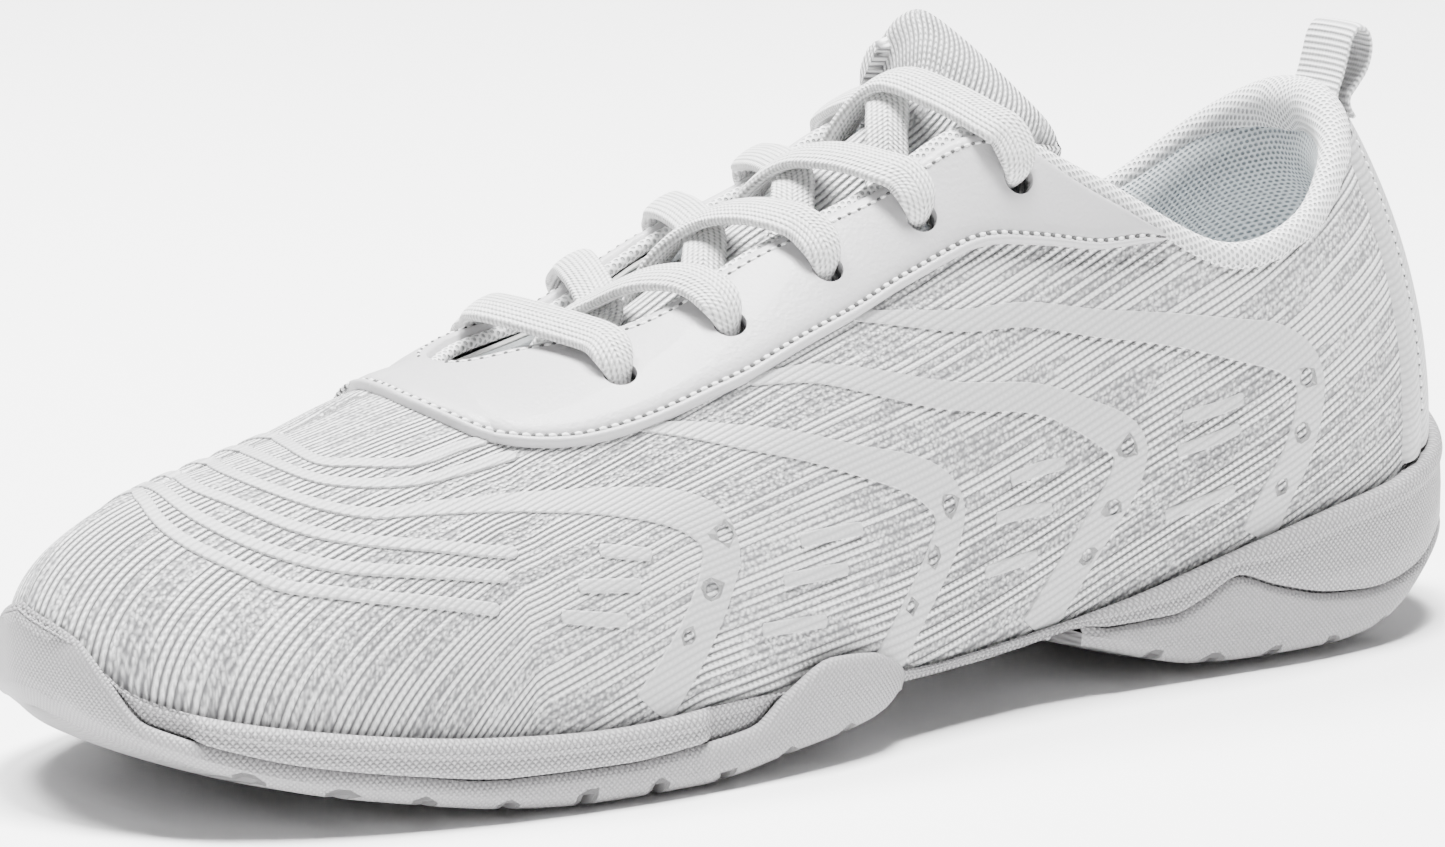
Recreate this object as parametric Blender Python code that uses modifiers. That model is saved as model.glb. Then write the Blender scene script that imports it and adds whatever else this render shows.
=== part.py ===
"""A left cheerleading shoe: knitted upper on a dished foam midsole with rubber outsoles.

The frame has the toe at -Y, the heel at +Y, the outer (little-toe) side at +X and the floor at Z = 0.
Tables are in millimetres; meshes are made in metres.

The upper is one closed loop seen from above.  A point on it is (u, k): u is the station round the loop,
0 at the toe tip, +15 at the heel by way of the outer side and -15 at the heel by way of the inner side;
k is 0 on the bite line, where the upper meets the sole, and 1 on the ridge, the throat edge or the topline.
Every layer is a patch of that one surface, lifted along its normals.
"""

import math

import bmesh
import bpy
import numpy as np
from mathutils import Matrix, Vector

MM = 0.001
TURN = 30  # stations once round the loop
HEEL = TURN // 2
SHIFT = (-1.03, -1.5, 0.0)  # puts the middle of the whole shoe's outline over the origin

# Driving dimensions, in millimetres.
GAP = 0.3
KNIT = 1.6
STIFFENER = 0.5
LINING = 0.8
COLLAR_FOAM = 3.2
OVERLAY = 1.6
BAND = 0.6
BAND_WIDTH = 8.0
BACK_STAY = 1.0
OUTSOLE = 3.0
SHANK = 1.1
SHANK_HALF = 8
SHANK_Y = (0, 96)
RIM_RADIUS = 3.0
LACE_WIDTH = 8.0
LACE_THICKNESS = 1.6
EYELET_RADIUS = 2.6
WEBBING_WIDTH = 11.5
WEBBING = 1.2
WEBBING_SAG = 0.9  # how far the ribbon's edges curve forward of its middle
GROOVE_PITCH = 12.5
GROOVE_WIDTH = 2.0
GROOVE_DEPTH = 2.0

# Offsets of each layer's inner face from the outer face of the knit.
UNDER_KNIT = -(KNIT + GAP + 0.25)
LINING_AT = UNDER_KNIT - STIFFENER - GAP - 0.15 - LINING
FOAM_AT = UNDER_KNIT - COLLAR_FOAM
COLLAR_LINING_AT = FOAM_AT - GAP - LINING
OVERLAY_AT = GAP + 0.2
TONGUE_DROP = 8.6  # tongue face under the outer face of the knit, with room for a lace between
RIM_DROP = 6.0  # how far under the topline the collar's layers end, below the rolled rim
THROAT = 4.6  # station where the throat opens

# Bite line: x, y, z at each station from toe tip to heel, outer side then inner side.
BITE_OUTER = [
    (-2, -130, 27), (11, -127, 22), (25, -117, 16), (36, -100, 13),
    (43, -78, 11.5), (46, -56, 10.5), (46, -34, 11), (43, -12, 10),
    (37, 10, 9), (33, 32, 10), (31.5, 52, 13), (32, 72, 18),
    (32, 92, 23), (28, 112, 27), (17, 127, 31), (0, 133, 34),
]
BITE_INNER = [
    (-2, -130, 27), (-13, -126.5, 23), (-25, -117.5, 19), (-35, -102, 16),
    (-43, -79, 14), (-44, -56, 13), (-40, -34, 13), (-34, -12, 12),
    (-29, 10, 12), (-27, 32, 13), (-28, 52, 16), (-31, 72, 19),
    (-31, 92, 23), (-27, 112, 27), (-16, 127, 31), (0, 133, 34),
]
# Top line: centre x, half width, y, z, lean of z to the inner side, arc of the section in degrees, bulge.
TOP = [
    (-4, 0, -103, 47, 0, 76, 0), (-4, 0, -97, 49, 0, 76, 0.2), (-4, 0, -90, 51, 0, 76, 0.5),
    (-4, 0, -79, 54, 0, 76, 0.8), (-4, 0, -65, 58.5, 0, 77, 1), (-4, 6, -48, 61.3, -0.2, 77, 1.5),
    (-0.2, 12.2, -30, 64.2, -0.8, 75, 2.2), (0.5, 14.5, -9, 73.8, -1.2, 68, 3.8),
    (1, 16, 11, 81, -1.5, 59, 4.8), (1, 18, 31, 89.3, -1.7, 50, 5),
    (-1.5, 27.5, 50, 80.2, -1.8, 42, 4.2), (0, 31.5, 72, 67.2, -2.2, 38, 3),
    (0, 28, 92, 70.7, -1.3, 34, 2.2), (0, 19, 106, 81.5, -0.5, 26, 1), (0, 9, 112, 87.6, -0.4, 22, 0),
    (0, 0, 113.8, 89, 0, 20, 0),
]
CREST = 0.72  # k above which the vamp rounds over its ridge
# How much lower the inner side of the vamp lies than the outer side, as (station, drop).
INNER_FALL = [(0, 0), (1, 1.5), (2, 4.2), (3, 6), (4.5, 6), (6, 3), (7, 0)]
# Heights that follow the length of the shoe, as (y, z): last bottom, and edge of the tread.
FLOOR = [
    (-135, 27), (-130, 24.5), (-120, 18.5), (-110, 14.6), (-95, 11.4), (-75, 9.2), (-50, 8.2),
    (-25, 9.4), (0, 11.5), (25, 12.6), (50, 13.6), (75, 15), (95, 17.5), (115, 20), (130, 23), (138, 26),
]
TREAD = [
    (-138, 24), (-132, 19), (-126, 13.8), (-117, 9.6), (-105, 6), (-91, 3.6), (-76, 1.4), (-60, 0.4),
    (-42, 0.5), (-23, 2.8), (-5, 5.1), (3, 8), (14, 9.4), (32, 9.2), (42, 8.2), (50, 6), (58, 3.6),
    (66, 2), (78, 1.4), (93, 1.4), (105, 2.6), (112, 5.3), (120, 9.5), (128, 13.2), (138, 17),
]
CROWN = 1.6  # the tread's edge stands this far above its middle
# Heights that follow the edge, as (station, z): top of the midsole, and top of the outsole's wall.
LIP = [
    (0, 31), (0.9, 27.4), (1.5, 20.8), (2, 18.2), (3, 15.1), (4, 12.6), (5, 11.6), (6, 12.8), (7, 12.4),
    (8, 10.8), (9, 12), (10, 14.6), (11, 19.4), (12, 24), (13, 27.2), (14, 30.6), (15, 36.4),
]
WRAP = [
    (0, 31.7), (0.9, 28.1), (1.37, 21.5), (1.5, 18.6), (1.8, 14.4), (2.15, 11.8), (2.8, 10), (3.4, 8.2),
    (4.2, 6.2), (5, 6.2), (5.6, 7.3), (6.1, 8.6), (6.4, 13), (6.8, 17), (7.15, 16.4), (7.5, 13.2),
    (7.65, 11),
]
WAVE = [
    (9.55, 10.4), (10.4, 10.9), (10.7, 12.8), (11.05, 15.8), (11.5, 13), (12, 10.6), (12.5, 9.8),
    (13, 11.2), (13.5, 14), (14, 17.4), (15, 20),
]
OUTSOLE_END = 7.65
HEEL_START = 9.55
STEPS = [
    0, 0.6, 1.1, 1.6, 2.2, 2.8, 3.5, 4.2, 4.6, 5, 5.6, 6.1, 6.4, 6.8, 7.2, 7.65,
    8.3, 9, 9.55, 9.8, 10.4, 11.05, 11.6, 12.3, 13, 13.6, 14.3, 15,
]
EYELETS = [(5.66, 0.81), (6.55, 0.83), (7.4, 0.85), (8.3, 0.865), (9.2, 0.88)]
EYESTAY_EDGE = [
    (3.85, 1), (4, 0.88), (4.26, 0.77), (4.55, 0.69), (5, 0.65), (5.4, 0.65), (6.1, 0.685),
    (6.6, 0.69), (7.4, 0.72), (8, 0.75), (8.6, 0.75), (9.15, 0.74), (9.7, 0.78), (10.1, 0.83), (10.4, 0.92),
]
INNER_SET_BACK = 0.09  # how much k the inner side's front edge gives up at station 4
# Middle line of each side band, as (station, k), from the eyestay down to the sole.
BANDS = [
    [(4.3, 0.535), (5, 0.505), (5.6, 0.465), (5.93, 0.41), (5.97, 0.34), (5.82, 0.25), (5.6, 0.15),
     (5.33, 0.075)],
    [(6.07, 0.618), (6.5, 0.545), (7.12, 0.45), (7.7, 0.385), (8, 0.335), (8.07, 0.285), (7.97, 0.22),
     (7.75, 0.14), (7.6, 0.09)],
    [(7.02, 0.64), (7.6, 0.57), (8.5, 0.475), (9.3, 0.425), (9.8, 0.39), (9.97, 0.35), (9.9, 0.28),
     (9.7, 0.21), (9.4, 0.12), (9.12, 0.06)],
    [(8, 0.68), (8.6, 0.615), (9.3, 0.6), (10.1, 0.64), (10.8, 0.695), (11.3, 0.665), (11.65, 0.58),
     (11.82, 0.48), (11.8, 0.36), (11.68, 0.24), (11.5, 0.14), (11.42, 0.09)],
]
# Rise of the tongue's middle over its edges, as (station, rise).
TONGUE_RISE = [(4.8, 1.5), (5, 2), (6, 6), (7, 7.5), (8, 8.2), (8.4, 8.8), (9, 9.8), (9.4, 11.6)]
TONGUE_TOP = [  # lateral end, lateral edge, middle, inner edge, inner end
    [(16.5, 42, 84), (15.5, 41.5, 91), (-1, 37, 101.8), (-14.5, 37, 92), (-14.5, 38, 84)],
    [(18.5, 48, 84), (17.5, 47, 91), (-5, 39, 106.6), (-17, 36.5, 97), (-17, 39, 88)],
]


def smooth(rows, at):
    """Uniform Catmull-Rom through equally spaced rows; 'at' counts rows."""
    rows = np.asarray(rows, float)
    at = np.clip(np.asarray(at, float), 0, len(rows) - 1)
    i = np.minimum(np.floor(at).astype(int), len(rows) - 2)
    padded = np.concatenate([2 * rows[:1] - rows[1:2], rows, 2 * rows[-1:] - rows[-2:-1]])
    return cubic([padded[i + j] for j in range(4)], (at - i)[..., None])


def cubic(p, t):
    return p[1] + 0.5 * t * (p[2] - p[0] + t * (2 * p[0] - 5 * p[1] + 4 * p[2] - p[3]
                                               + t * (3 * (p[1] - p[2]) + p[3] - p[0])))


def around(loop, u):
    """Catmull-Rom round a closed loop of TURN rows."""
    i = np.floor(u).astype(int)
    return cubic([loop[(i + j) % TURN] for j in (-1, 0, 1, 2)], (u - i)[..., None])


def looped(outer, inner):
    return np.array(list(outer) + list(inner)[-2:0:-1], float)


def height(table, at):
    """Piecewise cubic height through unevenly spaced (place, height) pairs, with no overshoot."""
    x, y = np.array(table, float).T
    at = np.clip(at, x[0], x[-1])
    i = np.clip(np.searchsorted(x, at, side="right") - 1, 0, len(x) - 2)
    slope = np.diff(y) / np.diff(x)
    before = np.concatenate([slope[:1], slope])
    after = np.concatenate([slope, slope[-1:]])
    same = before * after > 0
    tangent = np.where(same, 2 * before * after / np.where(same, before + after, 1), 0)
    h = x[i + 1] - x[i]
    t = (at - x[i]) / h
    return ((2 * t**3 - 3 * t**2 + 1) * y[i] + (t**3 - 2 * t**2 + t) * h * tangent[i]
            + (3 * t**2 - 2 * t**3) * y[i + 1] + (t**3 - t**2) * h * tangent[i + 1])


BITE = looped(BITE_OUTER, BITE_INNER)
TOP_LOOP = looped([(c + h, y, z - lean, arc, bulge) for c, h, y, z, lean, arc, bulge in TOP],
                  [(c - h, y, z + lean, arc, bulge) for c, h, y, z, lean, arc, bulge in TOP])
CENTRE = [row[0] for row in TOP]


def outward(u):
    """Unit normal of the bite line, seen from above."""
    along = around(BITE, u + 0.05) - around(BITE, u - 0.05)
    flat = np.stack([along[..., 1], -along[..., 0], np.zeros_like(u)], -1)
    return flat / np.linalg.norm(flat, axis=-1, keepdims=True)


def top_line(u):
    """Ridge, throat edge or topline: x, y, z, arc, bulge."""
    row = around(TOP_LOOP, u)
    t = np.abs(((u + HEEL) % TURN) - HEEL)
    side = np.where(((u + HEEL) % TURN) - HEEL < 0, -1.0, 1.0)
    middle = np.interp(t, range(len(CENTRE)), CENTRE)
    open_half = TOP[5][1] * np.sqrt(np.clip((t - THROAT) / (5 - THROAT), 0, 1))
    row[..., 0] = np.where(t < 5, middle + side * open_half, row[..., 0])
    ridge = (row[..., 2] + around(TOP_LOOP, -u)[..., 2]) / 2
    row[..., 2] = np.where(t < THROAT, ridge, row[..., 2])
    return row


def skin(u, k):
    """A point on the outer face of the knit."""
    u, k = np.broadcast_arrays(np.asarray(u, float), np.asarray(k, float))
    bite, top = around(BITE, u), top_line(u)
    arc = np.radians(top[..., 3])
    inward = (1 - np.cos(k * arc)) / (1 - np.cos(arc))
    upward = np.sin(k * arc) / np.sin(arc)
    flat = bite[..., :2] + (top[..., :2] - bite[..., :2]) * inward[..., None]
    z = bite[..., 2] + (top[..., 2] - bite[..., 2]) * upward
    t = np.abs(((u + HEEL) % TURN) - HEEL)
    both_sides = (bite[..., 2] + around(BITE, -u)[..., 2]) / 2
    slope = (top[..., 2] - both_sides) * arc * np.cos(arc) / np.sin(arc)
    past = np.clip(k - CREST, 0, None) / (1 - CREST)
    z = z - np.clip((5.6 - t) / 1.2, 0, 1) * slope * (1 - CREST) / 2 * past**2
    inner = np.where(((u + HEEL) % TURN) - HEEL < 0, 1.0, 0.0)
    z = z - inner * height(INNER_FALL, t) * np.sin(np.pi * np.clip(k, 0, 1) ** 1.5) ** 2
    swell = top[..., 4] * np.sin(np.pi * np.clip(k, 0, 1)) * (1 - 0.35 * k)
    return np.concatenate([flat, z[..., None]], -1) + outward(u) * swell[..., None]


def normal(u, k):
    u, k = np.broadcast_arrays(np.asarray(u, float), np.asarray(k, float))
    e = 0.02
    n = np.cross(skin(u + e, k) - skin(u - e, k), skin(u, k + e) - skin(u, k - e))
    return n / np.linalg.norm(n, axis=-1, keepdims=True)


def lifted(u, k, lift):
    return skin(u, k) + normal(u, k) * lift


def k_at(u, z):
    """The k at which the skin passes height z, low on the wall."""
    bite, top = around(BITE, u), top_line(u)
    arc = np.radians(top[..., 3])
    return (z - bite[..., 2]) / (top[..., 2] - bite[..., 2]) * np.sin(arc) / arc


def wall(u, z, out):
    """A point beside the upper at height z, 'out' outside it."""
    k = np.maximum(k_at(u, z), 0)
    point = skin(u, k) + outward(u) * np.asarray(out)[..., None]
    point[..., 2] = z
    return point


def beside(u, out):
    """A point in plan, 'out' outside the bite line, at height zero."""
    point = around(BITE, u) + outward(u) * out
    point[..., 2] = 0
    return point


# ---- Blender helpers ----

def clear_scene():
    for thing in list(bpy.data.objects):
        bpy.data.objects.remove(thing, do_unlink=True)


def collection(name):
    made = bpy.data.collections.new(name)
    bpy.context.scene.collection.children.link(made)
    return made


def material(name, colour, roughness, metallic=0.0):
    made = bpy.data.materials.new(name)
    made.use_nodes = True
    shader = made.node_tree.nodes["Principled BSDF"]
    shader.inputs["Base Color"].default_value = (*colour, 1)
    shader.inputs["Roughness"].default_value = roughness
    shader.inputs["Metallic"].default_value = metallic
    return made


def add(name, mesh, group, finish):
    made = bpy.data.objects.new(name, mesh)
    group.objects.link(made)
    if finish:
        mesh.materials.append(finish)
    mesh.shade_smooth()
    mesh.set_sharp_from_angle(angle=math.radians(35))
    return made


def grid_mesh(name, points, round_rows=False, caps=False):
    """Quads over a grid of points (columns, rows, 3) in millimetres; points that meet are made one.

    round_rows closes each column into a ring, and caps fills the first and last ring."""
    points = np.asarray(points, float) + SHIFT
    columns, rows = points.shape[:2]
    shape = bmesh.new()
    verts = [[shape.verts.new(points[i, j] * MM) for j in range(rows)] for i in range(columns)]
    for i in range(columns - 1):
        for j in range(rows if round_rows else rows - 1):
            after = (j + 1) % rows
            shape.faces.new((verts[i][j], verts[i + 1][j], verts[i + 1][after], verts[i][after]))
    if caps:
        shape.faces.new(verts[0])
        shape.faces.new(verts[-1][::-1])
    bmesh.ops.remove_doubles(shape, verts=shape.verts, dist=1e-6)
    bmesh.ops.dissolve_degenerate(shape, dist=1e-7, edges=shape.edges)
    mesh = bpy.data.meshes.new(name)
    shape.to_mesh(mesh)
    shape.free()
    return mesh


def layer(name, points, at, thickness, group, finish):
    """An open sheet, moved to its inner face by 'at' and thickened outward."""
    made = add(name, grid_mesh(name, points), group, finish)
    shift = made.modifiers.new("lift", "DISPLACE")
    shift.mid_level = 0
    shift.strength = at * MM
    thicken = made.modifiers.new("thickness", "SOLIDIFY")
    thicken.thickness = thickness * MM
    thicken.offset = 1
    return made


def solid_loft(name, sections, group, finish, caps=True):
    """A closed body through rings of points."""
    mesh = grid_mesh(name, sections, round_rows=True, caps=caps)
    shape = bmesh.new()
    shape.from_mesh(mesh)
    bmesh.ops.recalc_face_normals(shape, faces=shape.faces)
    shape.to_mesh(mesh)
    shape.free()
    return add(name, mesh, group, finish)


def cutter(name, mesh, group):
    made = bpy.data.objects.new(name, mesh)
    group.objects.link(made)
    made.hide_render = True
    made.display_type = "WIRE"
    return made


def cut(piece, tool):
    boolean = piece.modifiers.new("cut", "BOOLEAN")
    boolean.operation = "DIFFERENCE"
    boolean.object = tool
    boolean.solver = "EXACT"


def patch(us, low, high, count):
    """Points of the skin over columns us, between k = low(u) and k = high(u)."""
    us = np.asarray(us, float)
    share = np.linspace(0, 1, count)
    ks = low(us)[:, None] * (1 - share) + high(us)[:, None] * share
    return skin(np.repeat(us[:, None], count, 1), ks)


def fixed(value):
    return lambda u: np.full_like(u, value)


def station(u):
    return np.abs(((u + HEEL) % TURN) - HEEL)


# ---- the sole ----

def rubber(y):
    """Thickness of the outsole, which thins towards the waist."""
    return np.interp(y, [-22, 2, 42, 56], [OUTSOLE, 1.4, 1.4, OUTSOLE])


def tread_height(points, half):
    """Underside of the outsole: flat where it is pressed to the floor, curling up towards the edge."""
    edge = height(TREAD, points[..., 1])
    chord = np.linalg.norm(points[-1] - points[0])
    return np.maximum(edge - CROWN * min(chord / 30, 1) * (1 - half**3), 0)


def across(right, left, shares):
    return right[None] * (1 - shares)[:, None] + left[None] * shares[:, None]


def sole_section(t, outer_rows, bottom_inset, bottom_lift, inner_rows, inner_inset, inner_height, spread):
    """A ring across the shoe at station t: outer wall, underside, other wall, then the inside."""
    ring = []
    sides = [np.array(float(t)), np.array(-float(t))]
    walls = [np.array([row(u) for row in outer_rows]) for u in sides]
    shares = np.linspace(0, 1, spread)
    bottom = across(*[beside(u, -bottom_inset) for u in sides], shares)
    bottom[:, 2] = tread_height(bottom, np.abs(2 * shares - 1))
    if bottom_lift:
        bottom[:, 2] += rubber(bottom[:, 1]) + bottom_lift
    inner = [np.array([row(u) for row in inner_rows]) for u in sides]
    inside = across(*[beside(u, -inner_inset) for u in sides], shares)
    inside[:, 2] = inner_height(inside, np.abs(2 * shares - 1))
    ring.extend(walls[0])
    ring.extend(bottom)
    ring.extend(walls[1][::-1])
    if len(inner_rows):
        ring.extend(inner[1])
    ring.extend(inside[::-1])
    if len(inner_rows):
        ring.extend(inner[0][::-1])
    return ring


def rubber_rows(top):
    """Outer wall rows of an outsole whose wall rises to top(station)."""
    def tread(u, out):
        return float(height(TREAD, beside(u, out)[1]))

    def crest(u):
        return max(float(height(top, station(u))), tread(u, 2.6) + 2.4)

    return [
        lambda u: wall(u, crest(u), 1.8),
        lambda u: wall(u, crest(u), 2.7),
        lambda u: wall(u, 0.35 * crest(u) + 0.65 * tread(u, 3) + 1.2, 3.1),
        lambda u: wall(u, tread(u, 2) + 1.0, 1.9),
    ]


def outsole(name, steps, top, group, finish):
    rows = rubber_rows(top)
    inner = [lambda u: wall(u, float(height(TREAD, beside(u, 1)[1]) + rubber(beside(u, 1)[1])) + 0.6, 1.6)]
    sections = [
        sole_section(t, rows, 2.2, 0, inner, 2.2,
                     lambda points, half: tread_height(points, half) + rubber(points[:, 1]), 7)
        for t in steps
    ]
    return solid_loft(name, sections, group, finish)


def covered(t):
    """How far the outsole's wall covers the midsole's side near t: 1 at the toe and ball wraps, else 0."""
    return max(covered_at(min(max(near, 0), HEEL)) for near in (t - 0.55, t, t + 0.55))


def covered_at(t):
    if t <= OUTSOLE_END:
        gap = float(height(LIP, t)) - float(height(WRAP, t))
    elif t >= HEEL_START:
        gap = float(height(LIP, t)) - float(height(WAVE, t))
    else:
        return 0.0
    return float(np.clip((3.2 - gap) / 2, 0, 1))


def wall_top(t, fallback):
    if t <= OUTSOLE_END:
        return float(height(WRAP, t))
    if t >= HEEL_START:
        return float(height(WAVE, t))
    return fallback


def midsole_rows():
    def lip(u):
        t = float(station(u))
        return float(height(LIP, t))

    def seat(u):
        return float(height(TREAD, beside(u, 1)[1]) + rubber(beside(u, 1)[1])) + 1.6

    def joint(u):
        """Where the outsole's wall ends against the midsole."""
        t = float(station(u))
        low = seat(u) + 0.2
        return min(max(wall_top(t, low) + 0.4, low), lip(u) - 0.9)

    def proud(u):
        return 0.95 + 1.9 * (1 - covered(float(station(u)))) * arch_slim(float(station(u)))

    def arch_slim(t):
        return float(np.clip(abs(t - 8.6) - 0.5, 0.0, 1.0))

    return [
        lambda u: wall(u, lip(u), 0.45),
        lambda u: wall(u, lip(u) - 0.1, min(1.6, proud(u))),
        lambda u: wall(u, 0.7 * lip(u) + 0.3 * joint(u), proud(u)),
        lambda u: wall(u, joint(u) + 0.1, proud(u)),
        lambda u: wall(u, joint(u), 0.85),
        lambda u: wall(u, min(seat(u), joint(u) - 0.1), 0.7),
    ]


def turned_in(u, inset, share):
    """A point on the upper where it turns under the foot: share 0 at the bite line, 1 at the floor."""
    point = beside(u, -inset)
    bite = around(BITE, u)[2]
    point[2] = bite * (1 - share) + float(height(FLOOR, point[1])) * share
    return point


def midsole(group, finish):
    down = np.array([0, 0, -0.5])
    inner = [
        lambda u: around(BITE, u) + outward(u) * 0.45,
        lambda u: turned_in(u, 0.7, 0.6) + down,
        lambda u: turned_in(u, 3.6, 1) + down,
    ]

    def pocket(points, half):
        under_shank = (half < 0.7) & (points[:, 1] > SHANK_Y[0]) & (points[:, 1] < SHANK_Y[1])
        return height(FLOOR, points[..., 1]) - 0.5 - (SHANK + GAP) * under_shank

    sections = [
        sole_section(t, midsole_rows(), 2.2, GAP + 0.35, inner, 9, pocket, 7) for t in STEPS
    ]
    return solid_loft("midsole", sections, group, finish)


def plate(name, steps, inset, bottom, thickness, group, finish, dish=0.0):
    """A flat sheet that follows the last bottom, inset from the bite line."""
    shares = np.linspace(0, 1, 7)
    points = []
    for t in steps:
        row = across(beside(np.array(float(t)), -inset), beside(np.array(-float(t)), -inset), shares)
        half = np.abs(2 * shares - 1)
        row[:, 2] = height(FLOOR, row[:, 1]) + bottom + dish * half**4
        points.append(row)
    return layer(name, np.array(points), 0, thickness, group, finish)


def shank_plate(group, finish):
    ys = np.linspace(SHANK_Y[0] + 12, SHANK_Y[1] - 12, 7)
    points = []
    for y in ys:
        middle = 2.5 + (0.5 - 2.5) * (y - ys[0]) / (ys[-1] - ys[0])
        row = np.array([(middle + x, y, 0) for x in (SHANK_HALF, 0, -SHANK_HALF)], float)
        row[:, 2] = height(FLOOR, row[:, 1]) - 0.5 - SHANK
        points.append(row)
    return layer("shank_plate", np.array(points), 0, SHANK - 0.1, group, finish)


def grooves(name, first, last, group):
    """Cutters for the flex grooves that run across the tread."""
    shape = bmesh.new()
    y = first
    while y <= last:
        z = max(float(height(TREAD, y)) - CROWN, 0)
        slope = math.atan2(float(height(TREAD, y + 4) - height(TREAD, y - 4)), 8)
        size = Matrix.Diagonal((120 * MM, GROOVE_WIDTH * MM, 2 * GROOVE_DEPTH * MM, 1))
        middle = Vector((0, y, z)) + Vector(SHIFT)
        place = Matrix.Translation(middle * MM) @ Matrix.Rotation(slope, 4, "X")
        bmesh.ops.create_cube(shape, size=1, matrix=place @ size)
        y += GROOVE_PITCH
    mesh = bpy.data.meshes.new(name)
    shape.to_mesh(mesh)
    shape.free()
    return cutter(name, mesh, group)


# ---- the upper ----

def loop_columns(low=0.0, high=HEEL):
    """Stations on both sides between low and high, in the order that goes round the toe or the heel."""
    steps = [t for t in STEPS if low <= t <= high]
    if low == 0:
        return [-t for t in steps[::-1]] + steps[1:]
    return steps + [TURN - t for t in steps[::-1][1:]]


KNIT_ROWS = [0, 0.12, 0.26, 0.42, 0.58, 0.74, 0.88, 1]


def collar_top(u):
    """The k of the collar layers' top edge."""
    reach = np.linalg.norm(top_line(u)[..., :3] - around(BITE, u), axis=-1)
    return 1 - RIM_DROP / reach


def knit_top(u):
    share = np.clip((station(u) - 9) / 0.45, 0, 1)
    return 1 + (collar_top(u) - 1) * share


def knit_upper(group, finish):
    columns = np.array(loop_columns(), float)
    rows = []
    for u in columns:
        below = [turned_in(u, 11, 1), turned_in(u, 4, 1), turned_in(u, 1, 0.6)]
        ks = np.array(KNIT_ROWS) * knit_top(u)
        rows.append(np.concatenate([np.array(below), skin(np.full(len(ks), u), ks)]))
    points = np.array(rows)
    return layer("knit_upper", points, -KNIT, KNIT, group, finish)


def band(name, line, side, group, finish):
    """A strip of even width that follows a line of (station, k) points over the side of the upper."""
    count = 2 * (len(line) - 1) + 1
    course = smooth(line, np.linspace(0, len(line) - 1, count))
    middle = skin(side * course[:, 0], course[:, 1])
    along = np.gradient(middle, axis=0)
    n = normal(side * course[:, 0], course[:, 1])
    sideways = np.cross(n, along)
    sideways /= np.linalg.norm(sideways, axis=1, keepdims=True)
    shares = np.linspace(-0.5, 0.5, 3)
    uk = [to_skin(middle + sideways * BAND_WIDTH * s, side * course[:, 0], course[:, 1]) for s in shares]
    points = np.stack([skin(u, k) for u, k in uk], 1)
    return layer(name, points, OVERLAY_AT, BAND, group, finish)


def to_skin(points, u, k):
    """The (u, k) of the skin nearest to each point, from a first guess."""
    u, k = u.copy(), k.copy()
    e = 0.01
    for _ in range(6):
        here = skin(u, k)
        du = (skin(u + e, k) - here) / e
        dk = (skin(u, k + e) - here) / e
        off = points - here
        a, b, c = (du * du).sum(1), (du * dk).sum(1), (dk * dk).sum(1)
        p, q = (off * du).sum(1), (off * dk).sum(1)
        det = a * c - b * b
        u += (c * p - b * q) / det
        k += (a * q - b * p) / det
    return u, k


EYESTAY_STEPS = [
    3.85, 4, 4.25, 4.6, 4.7, 5, 5.6, 6.1, 6.8, 7.5, 8.2, 8.8, 9.2, 9.55, 9.9, 10.15, 10.38,
]


def eyestay_low(u, margin=0.0):
    edge = np.interp(station(u), *np.array(EYESTAY_EDGE).T) + margin
    edge = edge + INNER_SET_BACK * np.clip(5 - station(u), 0, 1) * (np.asarray(u) < 0)
    edge = np.minimum(edge, 1)
    return np.minimum(edge, knit_top(u) - 0.006)


def eyestay_backing(word, side, tools, group, finish):
    """Strip behind one side's eyelets."""
    steps = side * np.array([t for t in EYESTAY_STEPS if 5 <= t <= 9.55])
    points = patch(steps[::side], lambda u: eyestay_low(u, 0.04), lambda u: knit_top(u) - 0.008, 4)
    made = layer(f"eyestay_backing_{word}", points, UNDER_KNIT - STIFFENER, STIFFENER, group, finish)
    cut(made, tools)


def eyestay(at, thickness, tools, group, finish):
    """U-shaped facing round the throat: both sides and the bridge in front of the throat."""
    name = "eyestay"
    halves = []
    for side in (1, -1):
        steps = side * np.array(EYESTAY_STEPS)
        halves.append(patch(steps, eyestay_low, lambda u: knit_top(u) - 0.004 * (station(u) > 9), 4))
    mesh_right = grid_mesh(name, halves[0])
    mesh_left = grid_mesh(name + "_left", halves[1][:, ::-1])
    shape = bmesh.new()
    shape.from_mesh(mesh_right)
    shape.from_mesh(mesh_left)
    bmesh.ops.remove_doubles(shape, verts=shape.verts, dist=1e-6)
    mesh = bpy.data.meshes.new(name)
    shape.to_mesh(mesh)
    shape.free()
    made = add(name, mesh, group, finish)
    shift = made.modifiers.new("lift", "DISPLACE")
    shift.mid_level = 0
    shift.strength = at * MM
    thicken = made.modifiers.new("thickness", "SOLIDIFY")
    thicken.thickness = thickness * MM
    thicken.offset = 1
    cut(made, tools)
    return made


def eyelet_cutter(group):
    shape = bmesh.new()
    for side in (1, -1):
        for t, k in EYELETS:
            middle = Vector(skin(side * t, k) + SHIFT) * MM
            axis = Vector(normal(side * t, k))
            turn = axis.to_track_quat("Z", "Y").to_matrix().to_4x4()
            bmesh.ops.create_cone(shape, cap_ends=True, segments=8, radius1=EYELET_RADIUS * MM,
                                  radius2=EYELET_RADIUS * MM, depth=14 * MM,
                                  matrix=Matrix.Translation(middle) @ turn)
    mesh = bpy.data.meshes.new("eyelet_cutter")
    shape.to_mesh(mesh)
    shape.free()
    return cutter("eyelet_cutter", mesh, group)


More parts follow.
